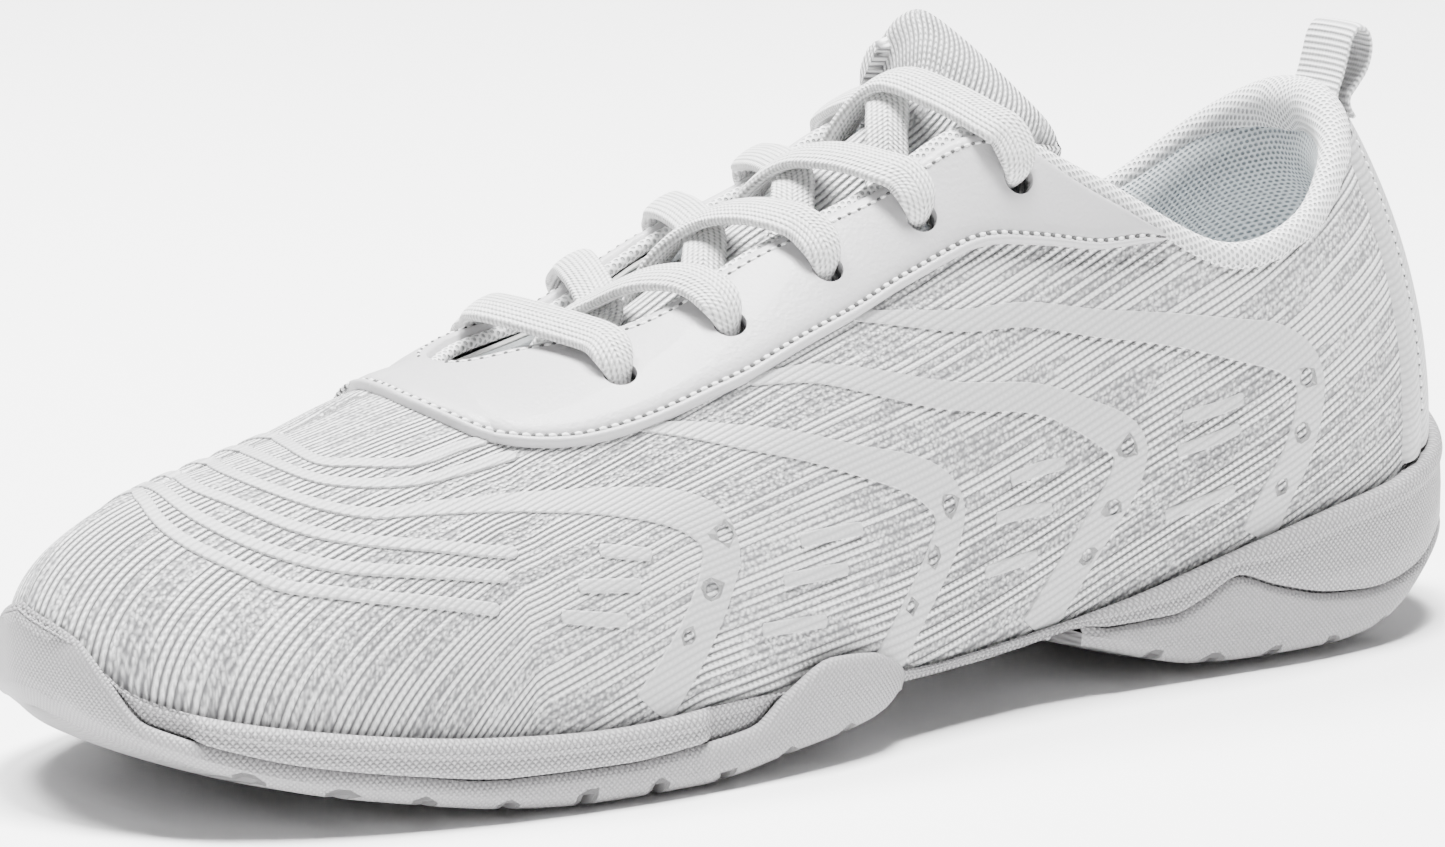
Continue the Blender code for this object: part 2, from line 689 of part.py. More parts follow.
def tube(name, points, radius, group, finish, sides=2):
    """A round cord through points, made a mesh with welded caps."""
    curve = bpy.data.curves.new(name, "CURVE")
    curve.dimensions = "3D"
    curve.bevel_depth = radius * MM
    curve.bevel_resolution = sides
    curve.use_fill_caps = True
    spline = curve.splines.new("POLY")
    spline.points.add(len(points) - 1)
    for place, point in zip(spline.points, points):
        place.co = (*((np.asarray(point) + SHIFT) * MM), 1)
    guide = bpy.data.objects.new(name + "_guide", curve)
    bpy.context.scene.collection.objects.link(guide)
    graph = bpy.context.evaluated_depsgraph_get()
    mesh = bpy.data.meshes.new_from_object(guide.evaluated_get(graph))
    mesh.name = name
    bpy.data.objects.remove(guide, do_unlink=True)
    shape = bmesh.new()
    shape.from_mesh(mesh)
    bmesh.ops.remove_doubles(shape, verts=shape.verts, dist=1e-6)
    shape.to_mesh(mesh)
    shape.free()
    return add(name, mesh, group, finish)


def collar_rim(group, finish):
    us = np.linspace(9.55, TURN - 9.55, 29)
    points = skin(us, np.ones_like(us)) - outward(us) * (RIM_RADIUS - 0.2)
    points[:, 2] -= 1.2
    return tube("collar_rim", points, RIM_RADIUS, group, finish)


# ---- the tongue ----

def tongue_points():
    shares = np.array([-1.3, -1.15, -1, -0.7, -0.36, 0, 0.36, 0.7, 1, 1.15, 1.3])
    rows = []
    for t in (4.0, 4.4):
        us = np.where(shares > 0, t, -t)
        rows.append(lifted(us, 1 - 0.16 * np.abs(shares), LINING_AT - 1.1))
        middle = len(shares) // 2
        rows[-1][middle] = 0.5 * (rows[-1][middle - 1] + rows[-1][middle + 1])
    for t in (5.0, 5.5, 6, 6.6, 7.2, 7.8, 8.4, 9):
        right = lifted(np.array(t), np.array(0.99), -TONGUE_DROP)
        left = lifted(np.array(-t), np.array(0.99), -TONGUE_DROP)
        rise = float(height(TONGUE_RISE, t))
        row = []
        for s in shares:
            if abs(s) > 1:
                wing = 0.99 - 0.45 * (abs(s) - 1)
                row.append(lifted(np.array(math.copysign(t, s)), np.array(wing), -TONGUE_DROP))
            else:
                point = 0.5 * (1 + s) * right + 0.5 * (1 - s) * left
                point[2] += rise * (1 - s * s) ** 2.2
                row.append(point)
        rows.append(np.array(row))
    for handles in TONGUE_TOP:
        five = np.array(handles, float)[::-1]
        rows.append(smooth(five, np.interp(shares, [-1.3, -1, 0, 1, 1.3], [0, 1, 2, 3, 4])))
    return np.array(rows)[:, ::-1]


def tongue(group, finishes):
    points = tongue_points()
    face, foam, lining = 1.0, 2.8, 0.8
    layer("tongue_face", points, -face, face, group, finishes["knit"])
    layer("tongue_foam", points[1:, 1:-1], -face - GAP - foam, foam, group, finishes["foam"])
    layer("tongue_lining", points, -face - 2 * GAP - foam - lining, lining, group, finishes["mesh"])


# ---- laces ----

def lace_course():
    """Control points of the whole lace and its (half width, half thickness) at each."""
    top = OVERLAY_AT + OVERLAY + GAP + LACE_THICKNESS / 2 + 0.5
    under = LINING_AT - GAP - LACE_THICKNESS / 2 - 0.4
    flat = (LACE_WIDTH / 2, LACE_THICKNESS / 2)
    curled = (3.2, LACE_THICKNESS / 2)
    tight = (1.8, 1.0)

    def spot(side, t, k, lift):
        return lifted(np.array(side * t), np.array(k), lift)

    def into(side, i):
        t, k = EYELETS[i]
        return [
            (spot(side, t - 0.03, k + 0.10, top + 1.0), flat),
            (spot(side, t, k + 0.045, top + 1.1), (2.6, 0.8)),
            (spot(side, t, k + 0.003, 2.6), tight),
            (spot(side, t, k, 0.0), tight),
        ]

    def out_of(side, i):
        t, k = EYELETS[i]
        return [
            (spot(side, t, k, LINING_AT - 0.6), (1.6, 0.9)),
            (spot(side, t + 0.04, k + 0.035, under - 1.2), (2.0, 0.8)),
            (spot(side, t + 0.14, k + 0.09, under - 0.6), curled),
        ]

    def over(side, i):
        """From under one side at eyelet i to over the other side at eyelet i + 1."""
        t = EYELETS[i][0]
        here = spot(side, t + 0.28, 0.985, under - 0.6)
        there = spot(-side, EYELETS[i + 1][0] - 0.1, 0.99, top + 1.0)
        crossing = tongue_middle(0.5 * (t + EYELETS[i + 1][0]) + 0.05)
        rise = 2.1 if side > 0 else 2.1 + LACE_THICKNESS + 0.7
        crossing[2] += rise + 0.2
        low = 0.78 * here + 0.22 * crossing
        low[2] = here[2] + 1.4
        near = 0.45 * here + 0.55 * crossing
        near[2] += 1.0
        far = 0.5 * (there + crossing)
        far[2] += 1.6 if side > 0 else 1.4
        return [(here, curled), (low, curled), (near, flat), (crossing, flat), (far, flat), (there, flat)]

    def tail(side):
        return [
            (spot(side, 8.95, 0.74, under - 0.9), curled),
            (spot(side, 8.6, 0.62, under - 0.6), (2.6, 0.8)),
            (spot(side, 8.35, 0.54, under - 0.6), (1.4, 0.8)),
        ]

    def leg(side):
        """From the first eyelet, zigzag up to the last and inside."""
        course = into(side, 0)
        for i in range(4):
            course += out_of(side, i) + over(side, i)
            side = -side
            course += into(side, i + 1)
        end = out_of(side, 4)[:1] + [(spot(side, 9.15, 0.83, under - 1.5), (3.0, 0.8))]
        return course + end + tail(side)

    bar = tongue_middle(5.05)
    bar[2] = top_line(np.array(5.2))[2] + 4.6
    return leg(1)[::-1] + [(bar, flat)] + leg(-1)


def tongue_middle(t):
    right = lifted(np.array(t), np.array(0.99), -TONGUE_DROP)
    left = lifted(np.array(-t), np.array(0.99), -TONGUE_DROP)
    point = 0.5 * (right + left)
    point[2] += float(height(TONGUE_RISE, t))
    return point


def lace(group, finish):
    course = lace_course()
    places = np.array([np.concatenate([p, size]) for p, size in course])
    fine = smooth(places, np.linspace(0, len(places) - 1, 2 * (len(places) - 1) + 1))
    along = np.gradient(fine[:, :3], axis=0)
    along /= np.linalg.norm(along, axis=1, keepdims=True)
    throat = np.array([0, 0.91, 0.41])
    wide = throat - along * (along @ throat)[:, None]
    wide /= np.linalg.norm(wide, axis=1, keepdims=True)
    thick = np.cross(along, wide)
    rings = []
    for point, w, n in zip(fine, wide, thick):
        half, deep = point[3], point[4]
        corners = [(1, 1), (-1, 1), (-1, -1), (1, -1)]
        rings.append([point[:3] + w * half * a + n * deep * b for a, b in corners])
    made = solid_loft("lace", rings, group, finish)
    for name, end, before in (("lace_tip_outer", fine[0], fine[1]), ("lace_tip_inner", fine[-1], fine[-2])):
        way = (end - before)[:3]
        way /= np.linalg.norm(way)
        tip = [end[:3] + way * d for d in (0.4, 8, 16)]
        tube(name, tip, 1.3, group, finish)
    return made


# ---- heel pieces ----

def webbing(name, line, group, finish):
    """A ribbon that follows a line of (y, z) points, wide along X and curved round the heel."""
    line = np.array(line, float)
    fine = smooth(line, np.linspace(0, len(line) - 1, 2 * (len(line) - 1) + 1))
    along = np.gradient(fine, axis=0)
    side = np.stack([-along[:, 1], along[:, 0]], 1)
    side /= np.linalg.norm(side, axis=1, keepdims=True)
    rings = []
    for point, n in zip(fine, side):
        faces = point + n * WEBBING / 2, point - n * WEBBING / 2
        half = WEBBING_WIDTH / 2
        (near, up), (far, low) = faces
        rings.append([(half, near - WEBBING_SAG, up), (0, near, up), (-half, near - WEBBING_SAG, up),
                      (-half, far - WEBBING_SAG, low), (0, far, low), (half, far - WEBBING_SAG, low)])
    return solid_loft(name, rings, group, finish)


def heel_pieces(group, finishes):
    steps = [t for t in STEPS if t >= 13]
    columns = [13.1] + steps[1:] + [TURN - t for t in steps[::-1][1:-1]] + [TURN - 13.1]
    low = lambda u: k_at(u, height(LIP, station(u))) + 0.03
    layer("back_stay", patch(columns, low, fixed(0.84), 6), OVERLAY_AT, BACK_STAY, group, finishes["stay"])
    webbing("pull_loop", [(117.6, 87.2), (118.7, 89.8), (119.6, 93), (120.6, 96.2), (122.3, 97.9),
                          (124.2, 96.9), (124.9, 94.2), (124, 90.8), (122, 88.6), (120, 88)],
            group, finishes["webbing"])
    webbing("pull_loop_front_tab", [(119.9, 82), (118.9, 83.5), (117.8, 85.2)], group, finishes["webbing"])
    webbing("pull_loop_back_tab", [(121.2, 82.9), (120.3, 84.4), (119.3, 86.2)], group, finishes["webbing"])


def build():
    clear_scene()
    shoe = collection("cheer_shoe")
    tools = collection("cutters")
    finishes = {
        "rubber": material("rubber", (0.86, 0.86, 0.85), 0.55),
        "foam_sole": material("foam_sole", (0.9, 0.9, 0.9), 0.6),
        "shank": material("shank", (0.75, 0.76, 0.78), 0.4),
        "board": material("board", (0.85, 0.84, 0.8), 0.9),
        "foam": material("foam", (0.9, 0.9, 0.88), 0.9),
        "knit": material("knit", (0.9, 0.9, 0.9), 0.85),
        "mesh": material("mesh", (0.86, 0.88, 0.9), 0.9),
        "facing": material("facing", (0.86, 0.86, 0.86), 0.5),
        "band": material("band", (0.93, 0.93, 0.93), 0.6),
        "stay": material("stay", (0.9, 0.9, 0.9), 0.7),
        "webbing": material("webbing", (0.93, 0.93, 0.93), 0.8),
        "lace": material("lace", (0.95, 0.95, 0.95), 0.85),
        "stiffener": material("stiffener", (0.8, 0.8, 0.78), 0.7),
    }

    front = [t for t in STEPS if t <= OUTSOLE_END]
    back = [t for t in STEPS if t >= HEEL_START]
    forefoot = outsole("outsole_forefoot", front, WRAP, shoe, finishes["rubber"])
    cut(forefoot, grooves("forefoot_grooves", -112.5, -12, tools))
    rear = outsole("outsole_heel", back, WAVE, shoe, finishes["rubber"])
    cut(rear, grooves("heel_grooves", 56, 112, tools))
    midsole(shoe, finishes["foam_sole"])
    shank_plate(shoe, finishes["shank"])
    coarse = STEPS[::2] + [HEEL]
    plate("strobel_board", coarse, 12.2, 0.2, 1.2, shoe, finishes["board"])
    plate("sockliner", coarse, 6.6, KNIT + 0.5, 4.0, shoe, finishes["foam"], dish=0.8)

    holes = eyelet_cutter(tools)
    cut(knit_upper(shoe, finishes["knit"]), holes)
    lining_columns = [u for u in loop_columns() if abs(u) <= 9.55]
    lining_patch = patch(lining_columns, fixed(0.09), lambda u: knit_top(u) - 0.045, 7)
    lining = layer("vamp_lining", lining_patch, LINING_AT, LINING, shoe, finishes["mesh"])
    cut(lining, holes)
    toe_columns = [u for u in loop_columns() if abs(u) <= 2.8]
    layer("toe_puff", patch(toe_columns, fixed(0.09), fixed(0.78), 5), UNDER_KNIT - STIFFENER, STIFFENER,
          shoe, finishes["stiffener"])
    rear_columns = loop_columns(9.8)
    layer("collar_foam", patch(rear_columns, fixed(0.62), collar_top, 4), FOAM_AT, COLLAR_FOAM, shoe,
          finishes["foam"])
    layer("collar_lining", patch(rear_columns, fixed(0.1), collar_top, 7), COLLAR_LINING_AT, LINING, shoe,
          finishes["mesh"])
    layer("heel_counter", patch(loop_columns(12), fixed(0.05), fixed(0.58), 5), UNDER_KNIT - 1, 1.0, shoe,
          finishes["stiffener"])
    collar_rim(shoe, finishes["knit"])
    eyestay(OVERLAY_AT, OVERLAY, holes, shoe, finishes["facing"])
    for side, word in ((1, "outer"), (-1, "inner")):
        eyestay_backing(word, side, holes, shoe, finishes["stiffener"])
        for number, line in enumerate(BANDS, 1):
            band(f"{word}_band_{number}", line, side, shoe, finishes["band"])
    tongue(shoe, finishes)
    lace(shoe, finishes["lace"])
    heel_pieces(shoe, finishes)


build()
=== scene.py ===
"""Looks of the cheer shoe: fine pieces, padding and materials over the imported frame.

Tables and offsets are in millimetres; meshes are made in metres, in the frame's axes.
The upper is one closed loop seen from above.  A point on it is (u, k): u is the station round the loop,
0 at the toe tip, +15 at the heel by way of the outer side and -15 by way of the inner side; k is 0 on the
bite line, where the upper meets the sole, and 1 on the ridge, the throat edge or the topline.
"""

import math

import bmesh
import bpy
import numpy as np
from mathutils import Matrix, Vector


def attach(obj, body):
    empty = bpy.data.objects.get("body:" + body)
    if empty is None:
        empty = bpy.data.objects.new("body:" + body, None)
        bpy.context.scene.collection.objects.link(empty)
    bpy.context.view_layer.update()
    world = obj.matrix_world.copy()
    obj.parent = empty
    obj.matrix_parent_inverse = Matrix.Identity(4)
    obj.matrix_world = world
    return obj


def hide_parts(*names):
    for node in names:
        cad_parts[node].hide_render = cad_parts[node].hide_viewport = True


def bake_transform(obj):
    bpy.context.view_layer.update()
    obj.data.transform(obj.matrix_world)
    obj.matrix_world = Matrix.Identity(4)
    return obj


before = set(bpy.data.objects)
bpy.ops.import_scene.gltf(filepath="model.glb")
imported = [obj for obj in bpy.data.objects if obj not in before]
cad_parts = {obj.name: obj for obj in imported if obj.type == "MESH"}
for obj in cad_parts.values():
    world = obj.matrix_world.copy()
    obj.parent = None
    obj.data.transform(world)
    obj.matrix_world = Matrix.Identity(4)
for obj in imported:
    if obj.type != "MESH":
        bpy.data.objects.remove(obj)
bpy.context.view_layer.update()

MM = 0.001
TURN = 30  # stations once round the loop
HEEL = TURN // 2
SHIFT = np.array([-1.03, -1.5, 0.0])  # puts the middle of the whole shoe's outline over the origin

GAP = 0.3
KNIT = 1.6
STIFFENER = 0.5
LINING = 0.8
OVERLAY = 1.6
LACE_THICKNESS = 1.6
EYELET_RADIUS = 2.6
GROOVE_PITCH = 12.5
GROOVE_WIDTH = 2.0
GROOVE_DEPTH = 2.0
OUTSOLE = 3.0
WEBBING_WIDTH = 11.5
WEBBING_SAG = 0.9
UNDER_KNIT = -(KNIT + GAP + 0.25)
LINING_AT = UNDER_KNIT - STIFFENER - GAP - 0.15 - LINING
OVERLAY_AT = GAP + 0.2
TONGUE_DROP = 8.6
THROAT = 4.6  # the station where the throat begins
THROAT_K = 0.99  # k of the tongue's and the lace's line along the throat

# Bite line: x, y, z at each station from toe tip to heel, outer side then inner side.
BITE_OUTER = [
    (-2, -130, 27), (11, -127, 22), (25, -117, 16), (36, -100, 13),
    (43, -78, 11.5), (46, -56, 10.5), (46, -34, 11), (43, -12, 10),
    (37, 10, 9), (33, 32, 10), (31.5, 52, 13), (32, 72, 18),
    (32, 92, 23), (28, 112, 27), (17, 127, 31), (0, 133, 34),
]
BITE_INNER = [
    (-2, -130, 27), (-13, -126.5, 23), (-25, -117.5, 19), (-35, -102, 16),
    (-43, -79, 14), (-44, -56, 13), (-40, -34, 13), (-34, -12, 12),
    (-29, 10, 12), (-27, 32, 13), (-28, 52, 16), (-31, 72, 19),
    (-31, 92, 23), (-27, 112, 27), (-16, 127, 31), (0, 133, 34),
]
# Top line: centre x, half width, y, z, lean of z to the inner side, arc of the section in degrees, bulge.
TOP = [
    (-4, 0, -103, 47, 0, 76, 0), (-4, 0, -97, 49, 0, 76, 0.2), (-4, 0, -90, 51, 0, 76, 0.5),
    (-4, 0, -79, 54, 0, 76, 0.8), (-4, 0, -65, 58.5, 0, 77, 1), (-4, 6, -48, 61.3, -0.2, 77, 1.5),
    (-0.2, 12.2, -30, 64.2, -0.8, 75, 2.2), (0.5, 14.5, -9, 73.8, -1.2, 68, 3.8),
    (1, 16, 11, 81, -1.5, 59, 4.8), (1, 18, 31, 89.3, -1.7, 50, 5),
    (-1.5, 27.5, 50, 80.2, -1.8, 42, 4.2), (0, 31.5, 72, 67.2, -2.2, 38, 3),
    (0, 28, 92, 70.7, -1.3, 34, 2.2), (0, 19, 106, 81.5, -0.5, 26, 1), (0, 9, 112, 87.6, -0.4, 22, 0),
    (0, 0, 113.8, 89, 0, 20, 0),
]
CREST = 0.72  # k above which the vamp rounds over its ridge
# How much lower the inner side of the vamp lies than the outer side, as (station, drop).
INNER_FALL = [(0, 0), (1, 1.5), (2, 4.2), (3, 6), (4.5, 6), (6, 3), (7, 0)]
# Heights that follow the length of the shoe, as (y, z): last bottom, and edge of the tread.
FLOOR = [
    (-135, 27), (-130, 24.5), (-120, 18.5), (-110, 14.6), (-95, 11.4), (-75, 9.2), (-50, 8.2),
    (-25, 9.4), (0, 11.5), (25, 12.6), (50, 13.6), (75, 15), (95, 17.5), (115, 20), (130, 23), (138, 26),
]
TREAD = [
    (-138, 24), (-132, 19), (-126, 13.8), (-117, 9.6), (-105, 6), (-91, 3.6), (-76, 1.4), (-60, 0.4),
    (-42, 0.5), (-23, 2.8), (-5, 5.1), (3, 8), (14, 9.4), (32, 9.2), (42, 8.2), (50, 6), (58, 3.6),
    (66, 2), (78, 1.4), (93, 1.4), (105, 2.6), (112, 5.3), (120, 9.5), (128, 13.2), (138, 17),
]
CROWN = 1.6  # the tread's edge stands this far above its middle
# Heights that follow the edge, as (station, z): top of the midsole, and top of the outsole's wall.
LIP = [
    (0, 31), (0.9, 27.4), (1.5, 20.8), (2, 18.2), (3, 15.1), (4, 12.6), (5, 11.6), (6, 12.8), (7, 12.4),
    (8, 10.8), (9, 12), (10, 14.6), (11, 19.4), (12, 24), (13, 27.2), (14, 30.6), (15, 36.4),
]
WRAP = [
    (0, 31.7), (0.9, 28.1), (1.37, 21.5), (1.5, 18.6), (1.8, 14.4), (2.15, 11.8), (2.8, 10), (3.4, 8.2),
    (4.2, 6.2), (5, 6.2), (5.6, 7.3), (6.1, 8.6), (6.4, 13), (6.8, 17), (7.15, 16.4), (7.5, 13.2),
    (7.65, 11),
]
WAVE = [
    (9.55, 10.4), (10.4, 10.9), (10.7, 12.8), (11.05, 15.8), (11.5, 13), (12, 10.6), (12.5, 9.8),
    (13, 11.2), (13.5, 14), (14, 17.4), (15, 20),
]
OUTSOLE_END = 7.65
HEEL_START = 9.55
EYELETS = [(5.66, 0.81), (6.55, 0.83), (7.4, 0.85), (8.3, 0.865), (9.2, 0.88)]
# Rise of the tongue's middle over its edges, as (station, rise).
TONGUE_RISE = [(4.8, 2.2), (5, 3.2), (6, 6), (7, 7.5), (8, 8.2), (8.4, 8.8), (9, 9.8), (9.4, 11.6)]
TONGUE_TOP = [  # lateral end, lateral edge, middle, inner edge, inner end
    [(16.5, 42, 84), (15.5, 41.5, 91), (-1, 37, 101.8), (-14.5, 37, 92), (-14.5, 38, 84)],
    [(18.5, 48, 84), (17.5, 47, 91), (-5, 39, 106.6), (-17, 36.5, 97), (-17, 39, 88)],
]


def signed(u):
    """The station with its side's sign: + on the outer side and - on the inner side."""
    return ((u + HEEL) % TURN) - HEEL


def station(u):
    return np.abs(signed(u))


def side_of(u):
    return np.where(signed(u) < 0, -1.0, 1.0)


def smooth(rows, at):
    """Uniform Catmull-Rom through equally spaced rows; 'at' counts rows."""
    rows = np.asarray(rows, float)
    at = np.clip(np.asarray(at, float), 0, len(rows) - 1)
    i = np.minimum(np.floor(at).astype(int), len(rows) - 2)
    padded = np.concatenate([2 * rows[:1] - rows[1:2], rows, 2 * rows[-1:] - rows[-2:-1]])
    share = (at - i).reshape(at.shape + (1,) * (rows.ndim - 1))
    return cubic([padded[i + j] for j in range(4)], share)


def cubic(p, t):
    return p[1] + 0.5 * t * (p[2] - p[0] + t * (2 * p[0] - 5 * p[1] + 4 * p[2] - p[3]
                                               + t * (3 * (p[1] - p[2]) + p[3] - p[0])))


def resampled(rows, count):
    return smooth(rows, np.linspace(0, len(rows) - 1, count))


def around(loop, u):
    """Catmull-Rom round a closed loop of TURN rows."""
    i = np.floor(u).astype(int)
    return cubic([loop[(i + j) % TURN] for j in (-1, 0, 1, 2)], (u - i)[..., None])


def looped(outer, inner):
    return np.array(list(outer) + list(inner)[-2:0:-1], float)


def height(table, at):
    """Piecewise cubic height through unevenly spaced (place, height) pairs, with no overshoot."""
    x, y = np.array(table, float).T
    at = np.clip(at, x[0], x[-1])
    i = np.clip(np.searchsorted(x, at, side="right") - 1, 0, len(x) - 2)
    slope = np.diff(y) / np.diff(x)
    before = np.concatenate([slope[:1], slope])
    after = np.concatenate([slope, slope[-1:]])
    same = before * after > 0
    tangent = np.where(same, 2 * before * after / np.where(same, before + after, 1), 0)
    h = x[i + 1] - x[i]
    t = (at - x[i]) / h
    return ((2 * t**3 - 3 * t**2 + 1) * y[i] + (t**3 - 2 * t**2 + t) * h * tangent[i]
            + (3 * t**2 - 2 * t**3) * y[i + 1] + (t**3 - t**2) * h * tangent[i + 1])


BITE = looped(BITE_OUTER, BITE_INNER)
TOP_LOOP = looped([(c + h, y, z - lean, arc, bulge) for c, h, y, z, lean, arc, bulge in TOP],
                  [(c - h, y, z + lean, arc, bulge) for c, h, y, z, lean, arc, bulge in TOP])
CENTRE = [row[0] for row in TOP]


def outward(u):
    """Unit normal of the bite line, seen from above."""
    along = around(BITE, u + 0.05) - around(BITE, u - 0.05)
    flat = np.stack([along[..., 1], -along[..., 0], np.zeros_like(u)], -1)
    return flat / np.linalg.norm(flat, axis=-1, keepdims=True)


def top_line(u):
    """Ridge, throat edge or topline: x, y, z, arc, bulge."""
    row = around(TOP_LOOP, u)
    t = station(u)
    middle = np.interp(t, range(len(CENTRE)), CENTRE)
    open_half = TOP[5][1] * np.sqrt(np.clip((t - THROAT) / (5 - THROAT), 0, 1))
    row[..., 0] = np.where(t < 5, middle + side_of(u) * open_half, row[..., 0])
    ridge = (row[..., 2] + around(TOP_LOOP, -u)[..., 2]) / 2
    row[..., 2] = np.where(t < THROAT, ridge, row[..., 2])
    return row


def skin(u, k):
    """A point on the outer face of the knit."""
    u, k = np.broadcast_arrays(np.asarray(u, float), np.asarray(k, float))
    bite, top, t = around(BITE, u), top_line(u), station(u)
    arc = np.radians(top[..., 3])
    inward = (1 - np.cos(k * arc)) / (1 - np.cos(arc))
    upward = np.sin(k * arc) / np.sin(arc)
    flat = bite[..., :2] + (top[..., :2] - bite[..., :2]) * inward[..., None]
    z = bite[..., 2] + (top[..., 2] - bite[..., 2]) * upward
    both_sides = (bite[..., 2] + around(BITE, -u)[..., 2]) / 2
    slope = (top[..., 2] - both_sides) * arc * np.cos(arc) / np.sin(arc)
    past = np.clip(k - CREST, 0, None) / (1 - CREST)
    z = z - np.clip((5.6 - t) / 1.2, 0, 1) * slope * (1 - CREST) / 2 * past**2
    hollow = np.sin(np.pi * np.clip(k, 0, 1) ** 1.5) ** 2
    z = z - (signed(u) < 0) * height(INNER_FALL, t) * hollow
    swell = top[..., 4] * np.sin(np.pi * np.clip(k, 0, 1)) * (1 - 0.35 * k)
    return np.concatenate([flat, z[..., None]], -1) + outward(u) * swell[..., None]


def normal(u, k):
    u, k = np.broadcast_arrays(np.asarray(u, float), np.asarray(k, float))
    e = 0.02
    n = np.cross(skin(u + e, k) - skin(u - e, k), skin(u, k + e) - skin(u, k - e))
    return n / np.linalg.norm(n, axis=-1, keepdims=True)


def lifted(u, k, lift):
    return skin(u, k) + normal(u, k) * lift


def k_at(u, z):
    """The k at which the skin passes height z, low on the wall."""
    bite, top = around(BITE, u), top_line(u)
    arc = np.radians(top[..., 3])
    return (z - bite[..., 2]) / (top[..., 2] - bite[..., 2]) * np.sin(arc) / arc


def wall(u, z, out):
    """A point beside the upper at height z, 'out' outside it."""
    k = np.maximum(k_at(u, z), 0)
    point = skin(u, k) + outward(u) * np.asarray(out)[..., None]
    point[..., 2] = z
    return point


def beside(u, out):
    """A point in plan, 'out' outside the bite line, at height zero."""
    point = around(BITE, u) + outward(u) * out
    point[..., 2] = 0
    return point


def reach_of(u):
    """Straight distance from the bite line to the top line."""
    return np.linalg.norm(top_line(u)[..., :3] - around(BITE, u), axis=-1)


def to_skin(points, u, k):
    """The (u, k) of the skin nearest to each point, from a first guess."""
    u, k = u.copy(), k.copy()
    e = 0.01
    for _ in range(6):
        here = skin(u, k)
        du = (skin(u + e, k) - here) / e
        dk = (skin(u, k + e) - here) / e
        off = points - here
        a, b, c = (du * du).sum(-1), (du * dk).sum(-1), (dk * dk).sum(-1)
        p, q = (off * du).sum(-1), (off * dk).sum(-1)
        det = a * c - b * b
        u += (c * p - b * q) / det
        k += (a * q - b * p) / det
    return u, k


def unit(v):
    return v / np.linalg.norm(v, axis=-1, keepdims=True)

def quarter_round(distance, radius, low=0.0):
    """Rises from low at distance 0 to 1 at the radius, like the edge of a pillow."""
    return np.sqrt(np.clip(1 - (1 - np.clip(distance / radius, 0, 1)) ** 2, low, 1))


def lengths(points):
    """Distance along a line of points."""
    steps = np.linalg.norm(np.diff(points, axis=0), axis=1)
    return np.concatenate([[0], np.cumsum(steps)])


# ---- mesh helpers ----

def quads(columns, rows, ring):
    i, j = np.meshgrid(np.arange(columns - 1), np.arange(rows if ring else rows - 1), indexing="ij")
    k = (j + 1) % rows
    return np.stack([i * rows + j, (i + 1) * rows + j, (i + 1) * rows + k, i * rows + k], -1).reshape(-1, 4)


def link(name, data):
    made = bpy.data.objects.new(name, data)
    bpy.context.scene.collection.objects.link(made)
    return made


def smooth_piece(name, mesh, shape, finish):
    """Writes the bmesh to the mesh and shows it, smooth."""
    bmesh.ops.recalc_face_normals(shape, faces=shape.faces)
    shape.to_mesh(mesh)
    shape.free()
    mesh.materials.append(finish)
    mesh.shade_smooth()
    return link(name, mesh)


def cutter(name, shape):
    """The bmesh as a hidden object to cut with."""
    mesh = bpy.data.meshes.new(name)
    shape.to_mesh(mesh)
    shape.free()
    made = link(name, mesh)
    made.hide_render = made.hide_viewport = True
    return made


def grid(name, points, finish, across=None, along=None, closed=False):
    """A surface through a grid of points (columns, rows, 3).

    When closed, each column is a ring and both ends are filled.
    """
    columns, rows = points.shape[:2]
    faces = quads(columns, rows, closed).tolist()
    if closed:
        faces += [list(range(rows))[::-1], [(columns - 1) * rows + j for j in range(rows)]]
    mesh = bpy.data.meshes.new(name)
    mesh.from_pydata(((points.reshape(-1, 3) + SHIFT) * MM).tolist(), [], faces)
    for word, field in (("across", across), ("along", along)):
        if field is not None:
            values = np.broadcast_to(field, (columns, rows)).astype(np.float32)
            mesh.attributes.new(word, "FLOAT", "POINT").data.foreach_set("value", values.ravel())
    shape = bmesh.new()
    shape.from_mesh(mesh)
    bmesh.ops.remove_doubles(shape, verts=shape.verts, dist=1e-6)
    bmesh.ops.dissolve_degenerate(shape, dist=1e-7, edges=shape.edges)
    return smooth_piece(name, mesh, shape, finish)


def place(piece, body, slot, *nodes):
    """Rides the piece on its body and hides the CAD nodes it stands for; the slot is not used."""
    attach(piece, body)
    if nodes:
        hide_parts(*nodes)


def solidify(piece, thickness, offset=-1):
    thicken = piece.modifiers.new("thickness", "SOLIDIFY")
    thicken.thickness = thickness * MM
    thicken.offset = offset


PEG_LENGTH = 9
SHARP = math.radians(38)  # edges turning more than this stay sharp after a cut


def pegs(name, spots):
    """Cutters: a round peg of each radius at each (u, k) of the skin."""
    shape = bmesh.new()
    for u, k, radius in spots:
        middle = Vector((skin(u, k) + SHIFT) * MM)
        turn = Vector(normal(u, k)).to_track_quat("Z", "Y").to_matrix().to_4x4()
        bmesh.ops.create_cone(shape, cap_ends=True, segments=28, radius1=radius * MM, radius2=radius * MM,
                              depth=PEG_LENGTH * MM, matrix=Matrix.Translation(middle) @ turn)
    return cutter(name, shape)


def apply_cut(piece, tool):
    """Cuts the tool out of the piece for good, on top of the modifiers it has."""
    cut = piece.modifiers.new("cut", "BOOLEAN")
    cut.operation = "DIFFERENCE"
    cut.object = tool
    cut.solver = "EXACT"
    whole = piece.evaluated_get(bpy.context.evaluated_depsgraph_get())
    mesh = bpy.data.meshes.new_from_object(whole)
    piece.modifiers.clear()
    old = piece.data
    piece.data = mesh
    bpy.data.meshes.remove(old)
    mesh.set_sharp_from_angle(angle=SHARP)


# ---- materials ----

